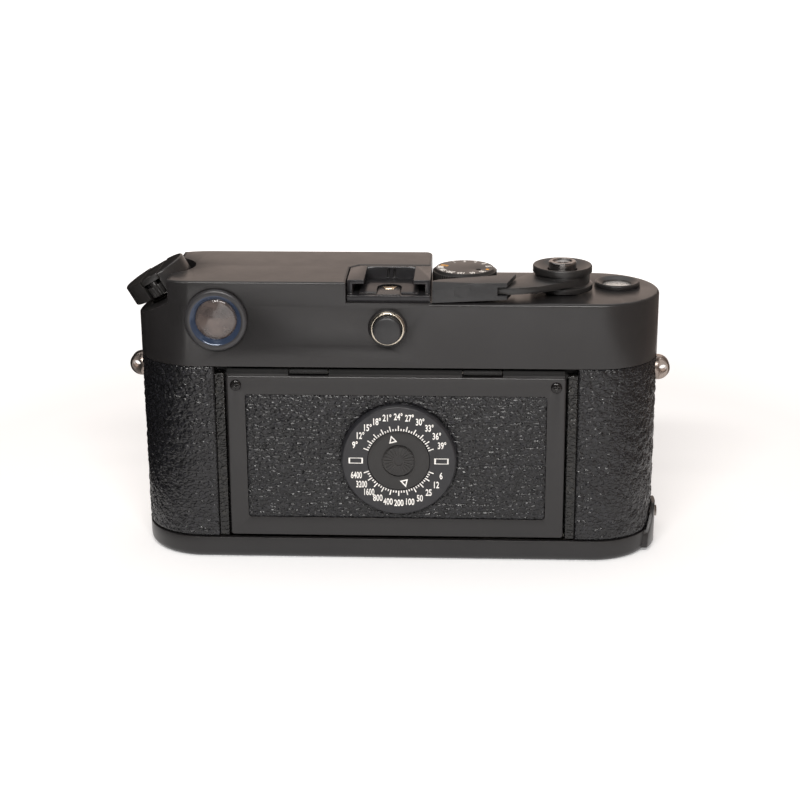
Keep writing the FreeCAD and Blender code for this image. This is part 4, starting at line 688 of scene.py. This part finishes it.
class Marks:
    """Gathers flat marks on one face into a single mesh."""

    def __init__(self, centre, right, up, out, height):
        self.mesh = bmesh.new()
        self.frame = Matrix((right, up, out)).transposed().to_4x4()
        self.frame.translation = centre
        self.height = height

    def polygon(self, points):
        ring = [self.mesh.verts.new(self.frame @ Vector((x, y, 0))) for x, y in points]
        top = [self.mesh.verts.new(self.frame @ Vector((x, y, self.height))) for x, y in points]
        self.mesh.faces.new(top)
        self.mesh.faces.new(list(reversed(ring)))
        for a in range(len(points)):
            b = (a + 1) % len(points)
            self.mesh.faces.new([ring[a], ring[b], top[b], top[a]])

    def bar(self, radius_low, radius_high, angle, width):
        """Radial line at an angle in degrees, anticlockwise from the right."""
        c, s = math.cos(math.radians(angle)), math.sin(math.radians(angle))
        half = width / 2
        corners = [(radius_low, -half), (radius_high, -half), (radius_high, half), (radius_low, half)]
        self.polygon([(r * c - t * s, r * s + t * c) for r, t in corners])

    def dot(self, x, y, radius):
        steps = [2 * math.pi * k / 20 for k in range(20)]
        self.polygon([(x + radius * math.cos(a), y + radius * math.sin(a)) for a in steps])

    def box(self, x, y, width, height, line):
        """Outlined box centred on (x, y); line is as in loop."""
        self.loop([(x - width / 2, y - height / 2), (x + width / 2, y - height / 2),
                   (x + width / 2, y + height / 2), (x - width / 2, y + height / 2)], line)

    def loop(self, outline, line):
        """Closed line inside a convex outline; line is its width as a share of the way to the middle."""
        middle_x = sum(p[0] for p in outline) / len(outline)
        middle_y = sum(p[1] for p in outline) / len(outline)
        inner = [(middle_x + (x - middle_x) * (1 - line), middle_y + (y - middle_y) * (1 - line))
                 for x, y in outline]
        for a in range(len(outline)):
            b = (a + 1) % len(outline)
            self.polygon([outline[a], outline[b], inner[b], inner[a]])

    def text(self, body, x, y, height, narrow=0.62, turn=0.0):
        """Characters centred on (x, y); height is that of a figure."""
        curve = bpy.data.curves.new("mark", "FONT")
        curve.body = body
        curve.align_x = "CENTER"
        curve.align_y = "CENTER"
        curve.resolution_u = 3
        curve.extrude = 0.5
        curve.offset = 0.02
        holder = bpy.data.objects.new("mark", curve)
        bpy.context.scene.collection.objects.link(holder)
        flat = bpy.data.meshes.new_from_object(holder.evaluated_get(bpy.context.evaluated_depsgraph_get()))
        bpy.data.objects.remove(holder)
        scale = height / FIGURE
        c, s = math.cos(math.radians(turn)), math.sin(math.radians(turn))
        rotation = Matrix(((c, -s, 0, x), (s, c, 0, y), (0, 0, 1, self.height / 2), (0, 0, 0, 1)))
        size = Matrix.Diagonal((scale * narrow, scale, self.height, 1))
        flat.transform(self.frame @ rotation @ size)
        self.mesh.from_mesh(flat)
        bpy.data.meshes.remove(flat)

    def piece(self, name, look, body):
        mesh = bpy.data.meshes.new(name)
        bmesh.ops.remove_doubles(self.mesh, verts=self.mesh.verts, dist=0.001 * MM)
        bmesh.ops.recalc_face_normals(self.mesh, faces=self.mesh.faces)
        self.mesh.to_mesh(mesh)
        self.mesh.free()
        thing = bpy.data.objects.new(name, mesh)
        bpy.context.scene.collection.objects.link(thing)
        return dress(thing, look, body)


FIGURE = 0.72             # height of a figure in the built-in font at size one
MARK = 0.03 * MM          # how proud a painted mark stands
RIGHT_X = Vector((-1, 0, 0))
UP_Z = Vector((0, 0, 1))
OUT_Y = Vector((0, 1, 0))


def around(radius, angle):
    """Point at a radius and an angle in degrees round a face's centre."""
    return (radius * math.cos(math.radians(angle)), radius * math.sin(math.radians(angle)))


# Film-speed scale on the door: two arcs of figures that stay upright.
FIGURE_STEP = 13.9                             # degrees from one figure to the next
FIGURE_HEIGHT = 1.85 * MM
UPPER_REACH, LOWER_REACH = 12.2 * MM, 11.95 * MM
TICK_START, LONG_TICK, SHORT_TICK = 8.4 * MM, 9.85 * MM, 9.0 * MM
TICK_WIDTH = 0.30 * MM
SIDE_BOX_X, SIDE_BOX_WIDTH, SIDE_BOX_HEIGHT = 11.3 * MM, 3.8 * MM, 1.6 * MM
upper = [str(9 + 3 * k) + "°" for k in range(11)]
lower = ["6400", "3200", "1600", "800", "400", "200", "100", "50", "25", "12", "6"]

scale_marks = Marks(Vector((SELECTOR.x, ring_high.y, SELECTOR.z)), RIGHT_X, UP_Z, OUT_Y, MARK)
for k, (high_text, low_text) in enumerate(zip(upper, lower)):
    for text, angle in ((high_text, 90 + FIGURE_STEP * (5 - k)), (low_text, 270 - FIGURE_STEP * (5 - k))):
        x, y = around(UPPER_REACH if angle < 180 else LOWER_REACH, angle)
        scale_marks.text(text, x, y, FIGURE_HEIGHT, 0.66 if len(text) < 4 else 0.58)
    for third in range(3):
        if k == 10 and third:
            break
        for middle_angle, way in ((90, 1), (270, -1)):
            angle = middle_angle + way * (FIGURE_STEP * (5 - k) - FIGURE_STEP * third / 3)
            scale_marks.bar(TICK_START, SHORT_TICK if third else LONG_TICK, angle, TICK_WIDTH)
for x in (-SIDE_BOX_X, SIDE_BOX_X):
    scale_marks.box(x, 0.0, SIDE_BOX_WIDTH, SIDE_BOX_HEIGHT, 0.22)
scale_marks.piece("film_speed_scale", WHITE, "back_door")

# Two outlined triangles on the film-speed disc, pointing outwards.
DISC_DROP = 0.35 * MM                          # from the knob's face down to the disc
TRIANGLE = [(0, 1.25 * MM), (-1.1 * MM, -0.85 * MM), (1.1 * MM, -0.85 * MM)]
knob_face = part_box("film_speed_dial")[1].y
pointer = Marks(Vector((SELECTOR.x, knob_face - DISC_DROP, SELECTOR.z)), RIGHT_X, UP_Z, OUT_Y, MARK)
for angle, reach in ((105.5, 6.1 * MM), (284.4, 6.4 * MM)):
    cx, cy = around(reach, angle)
    c, s = math.cos(math.radians(angle - 90)), math.sin(math.radians(angle - 90))
    pointer.loop([(cx + x * c - y * s, cy + x * s + y * c) for x, y in TRIANGLE], 0.46)
pointer.piece("film_speed_pointers", WHITE, "film_speed_dial")

# Fine radial grip on the face of the film-speed knob.
GRIP_RIBS, GRIP_HEIGHT = 22, 0.2 * MM
grip = Marks(Vector((SELECTOR.x, knob_face, SELECTOR.z)), RIGHT_X, UP_Z, OUT_Y, GRIP_HEIGHT)
for k in range(GRIP_RIBS):
    grip.bar(1.2 * MM, 3.85 * MM, 360 / GRIP_RIBS * k, 0.36 * MM)
grip.piece("film_speed_grip", looks["black_anodised"], "film_speed_dial")

# Shutter-speed figures, read from behind the camera. An amber dot takes the empty place.
TOP_RIGHT, TOP_UP = Vector((-1, 0, 0)), Vector((0, -1, 0))
SPEED_START, SPEED_STEP = 118, 27              # degrees: the first figure, and the step to the next
speed_face = Vector((SPEED.x, SPEED.y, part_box("speed_dial")[1].z))
speeds = ["1", "2", "4", "8", "15", None, "30", "60", "125", "250", "500", "1000"]

speed_marks = Marks(speed_face, TOP_RIGHT, TOP_UP, UP_Z, MARK)
for k, text in enumerate(speeds):
    if text:
        angle = SPEED_START - SPEED_STEP * k
        x, y = around(6.3 * MM, angle)
        speed_marks.text(text, x, y, 1.6 * MM, 0.66, angle - 90)
speed_marks.piece("speed_figures", WHITE, "speed_dial")
amber = Marks(speed_face, TOP_RIGHT, TOP_UP, UP_Z, MARK)
for angle in (158, 168):
    amber.bar(4.7 * MM, 6.9 * MM, angle, 0.4 * MM)
amber.dot(*around(6.4 * MM, -20), 0.5 * MM)
amber.piece("speed_amber_marks", ORANGE, "speed_dial")

# Frame counter: figures and ticks on its disc.
counter_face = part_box("counter_disc")[1].z
count_marks = Marks(Vector((COUNTER.x, COUNTER.y, counter_face)), TOP_RIGHT, TOP_UP, UP_Z, MARK)
for k in range(16):
    count_marks.bar(2.8 * MM, (3.3 if k % 2 == 0 else 3.05) * MM, 22.5 * k, 0.10 * MM)
for k in range(8):
    x, y = around(2.05 * MM, 45 * k)
    count_marks.text(str(5 * k), x, y, 0.8 * MM, 0.7, 45 * k - 90)
count_marks.piece("counter_figures", INK, "counter_disc")

# Round index bead for fitting a lens.
BEAD_REACH, BEAD_RADIUS = 22.8 * MM, 0.75 * MM
bead = Marks(Vector((LENS.x, lens_ring_low.y, LENS.z)), Vector((1, 0, 0)), UP_Z, Vector((0, -1, 0)), MARK)
bead.dot(*around(BEAD_REACH, 155), BEAD_RADIUS)
bead.piece("lens_index", RED, "camera_body")


# --- floor, light and camera ----------------------------------------------------------
def background_rays(nodes, links):
    """One for the rays that show the background itself: straight, mirrored or through glass."""
    path = nodes.new("ShaderNodeLightPath")
    rays = path.outputs["Is Camera Ray"]
    for name in ("Is Glossy Ray", "Is Transmission Ray"):
        largest = nodes.new("ShaderNodeMath")
        largest.operation = "MAXIMUM"
        links.new(rays, largest.inputs[0])
        links.new(path.outputs[name], largest.inputs[1])
        rays = largest.outputs[0]
    return rays


def flat_sheet(name, points, look):
    """A four-cornered sheet of the studio."""
    mesh = bpy.data.meshes.new(name)
    mesh.from_pydata(points, [], [(0, 1, 2, 3)])
    mesh.materials.append(look.mat)
    sheet = bpy.data.objects.new(name, mesh)
    bpy.context.scene.collection.objects.link(sheet)
    return sheet


def studio_floor():
    """Pale floor that fades into the white background away from the object."""
    look = Look("white_floor", (0.86, 0.86, 0.86), 0.9)
    look.set(Specular_IOR_Level=0.0)
    away = look.add("ShaderNodeVectorMath", {"operation": "LENGTH"})
    look.links.new(look.coords, away.inputs[0])
    fade = look.span(away.outputs["Value"], FADE_START, FADE_END, FLOOR_GLOW, 1.0)
    glow = look.add("ShaderNodeEmission", Color=(1, 1, 1, 1), Strength=fade)
    both = look.nodes.new("ShaderNodeAddShader")
    look.links.new(look.shader.outputs[0], both.inputs[0])
    look.links.new(glow.outputs[0], both.inputs[1])
    pick = look.nodes.new("ShaderNodeMixShader")
    look.links.new(background_rays(look.nodes, look.links), pick.inputs[0])
    look.links.new(look.shader.outputs[0], pick.inputs[1])
    look.links.new(both.outputs[0], pick.inputs[2])
    look.links.new(pick.outputs[0], look.nodes["Material Output"].inputs["Surface"])
    half, z = FLOOR_HALF, cad_low.z - 0.02 * MM
    flat_sheet("studio_floor", [(-half, -half, z), (half, -half, z), (half, half, z), (-half, half, z)], look)


def studio_world():
    """White behind the object; a plain dim room for its light, warmer beyond the lens side."""
    world = bpy.data.worlds.new("studio")
    bpy.context.scene.world = world
    world.use_nodes = True
    nodes, links = world.node_tree.nodes, world.node_tree.links
    room = nodes["Background"]
    coords = nodes.new("ShaderNodeTexCoord")
    split = nodes.new("ShaderNodeSeparateXYZ")
    links.new(coords.outputs["Generated"], split.inputs[0])
    ramp = nodes.new("ShaderNodeMapRange")
    ramp.inputs["From Min"].default_value = 0.5
    ramp.inputs["From Max"].default_value = -0.5
    links.new(split.outputs["Y"], ramp.inputs["Value"])
    tone = nodes.new("ShaderNodeMix")
    tone.data_type = "RGBA"
    tone.inputs[6].default_value = (0.50, 0.50, 0.53, 1)
    tone.inputs[7].default_value = (0.95, 0.80, 0.70, 1)
    links.new(ramp.outputs["Result"], tone.inputs[0])
    links.new(tone.outputs[2], room.inputs["Color"])
    room.inputs["Strength"].default_value = 0.5
    white = nodes.new("ShaderNodeBackground")
    white.inputs["Color"].default_value = (1, 1, 1, 1)
    pick = nodes.new("ShaderNodeMixShader")
    links.new(background_rays(nodes, links), pick.inputs[0])
    links.new(room.outputs[0], pick.inputs[1])
    links.new(white.outputs[0], pick.inputs[2])
    links.new(pick.outputs[0], nodes["World Output"].inputs["Surface"])


def card(name, points, color, glows=False):
    """A studio card seen only in reflections: a flag that darkens a side, or a wall that glows."""
    look = Look(name, (0, 0, 0) if glows else color, 1.0)
    look.set(Specular_IOR_Level=0.0)
    if glows:
        look.set(Emission_Strength=1.0)
        look.shader.inputs["Emission Color"].default_value = (*color, 1.0)
    sheet = flat_sheet(name, points, look)
    sheet.visible_camera = False
    sheet.visible_diffuse = False
    sheet.visible_shadow = False


def side_flag(name, foot, head, color):
    """A flag that leans outwards beside the object, from x = foot on the floor to x = head."""
    back, front, top = -0.30, 0.40, 0.32
    card(name, [(foot, back, 0.0), (foot, front, 0.0), (head, front, top), (head, back, top)], color)


def wide_card(name, half, low_edge, high_edge, color, glows=False):
    """A card across the object's length, between two level edges given as (y, z)."""
    points = [(-half, *low_edge), (half, *low_edge), (half, *high_edge), (-half, *high_edge)]
    card(name, points, color, glows)


def softbox(name, place, target, width, height, watts, color):
    data = bpy.data.lights.new(name, "AREA")
    data.shape = "RECTANGLE"
    data.size, data.size_y = width, height
    data.energy = watts
    data.color = color
    light = bpy.data.objects.new(name, data)
    bpy.context.scene.collection.objects.link(light)
    light.location = place
    light.rotation_euler = (Vector(target) - Vector(place)).to_track_quat("-Z", "Y").to_euler()


CAMERA_PLACE = Vector((-0.02224, 0.45188, 0.19186))
CAMERA_AIM = Vector((0.04580, -0.94676, -0.31867))
CAMERA_ROLL = math.radians(-0.3458)
CAMERA_LENS = 79.16
FLOOR_HALF = 3.0
FLOOR_GLOW = 0.26                       # what the floor gives off beside the object
FADE_START, FADE_END = 0.16, 0.42       # where the floor starts to fade, and where it is plain white


def camera():
    data = bpy.data.cameras.new("camera")
    data.lens = CAMERA_LENS
    data.sensor_width = 36.0
    data.clip_start = 0.02
    data.clip_end = 20.0
    thing = bpy.data.objects.new("camera", data)
    bpy.context.scene.collection.objects.link(thing)
    forward = CAMERA_AIM.normalized()
    right = forward.cross(UP_Z).normalized()
    up = right.cross(forward)
    side = math.cos(CAMERA_ROLL) * right + math.sin(CAMERA_ROLL) * up
    head = -math.sin(CAMERA_ROLL) * right + math.cos(CAMERA_ROLL) * up
    pose = Matrix((side, head, -forward)).transposed().to_4x4()
    pose.translation = CAMERA_PLACE
    thing.matrix_world = pose
    bpy.context.scene.camera = thing


studio_floor()
studio_world()
side_flag("flag_rewind_side", 0.095, 0.18, (0.01, 0.01, 0.01))
side_flag("flag_wind_side", -0.13, -0.22, (0.34, 0.29, 0.26))
wide_card("flag_overhead", 0.7, (-0.2, 1.0), (1.2, 0.90), (0.02, 0.02, 0.02))
wide_card("flag_behind_camera", 0.9, (1.2, 0.04), (1.2, 0.92), (0.02, 0.02, 0.02))
wide_card("warm_wall", 1.6, (-1.4, 0.0), (-1.4, 1.3), (0.86, 0.70, 0.61), glows=True)
centre = (cad_low + cad_high) / 2
softbox("top_softbox", (0.05, -0.05, 0.75), centre, 0.7, 0.4, 0.9, (1.0, 0.97, 0.94))
softbox("key_strip", (0.02, 0.66, 0.62), centre, 0.6, 0.08, 6.6, (1.0, 0.975, 0.95))
camera()
bpy.context.scene.view_settings.view_transform = "Standard"
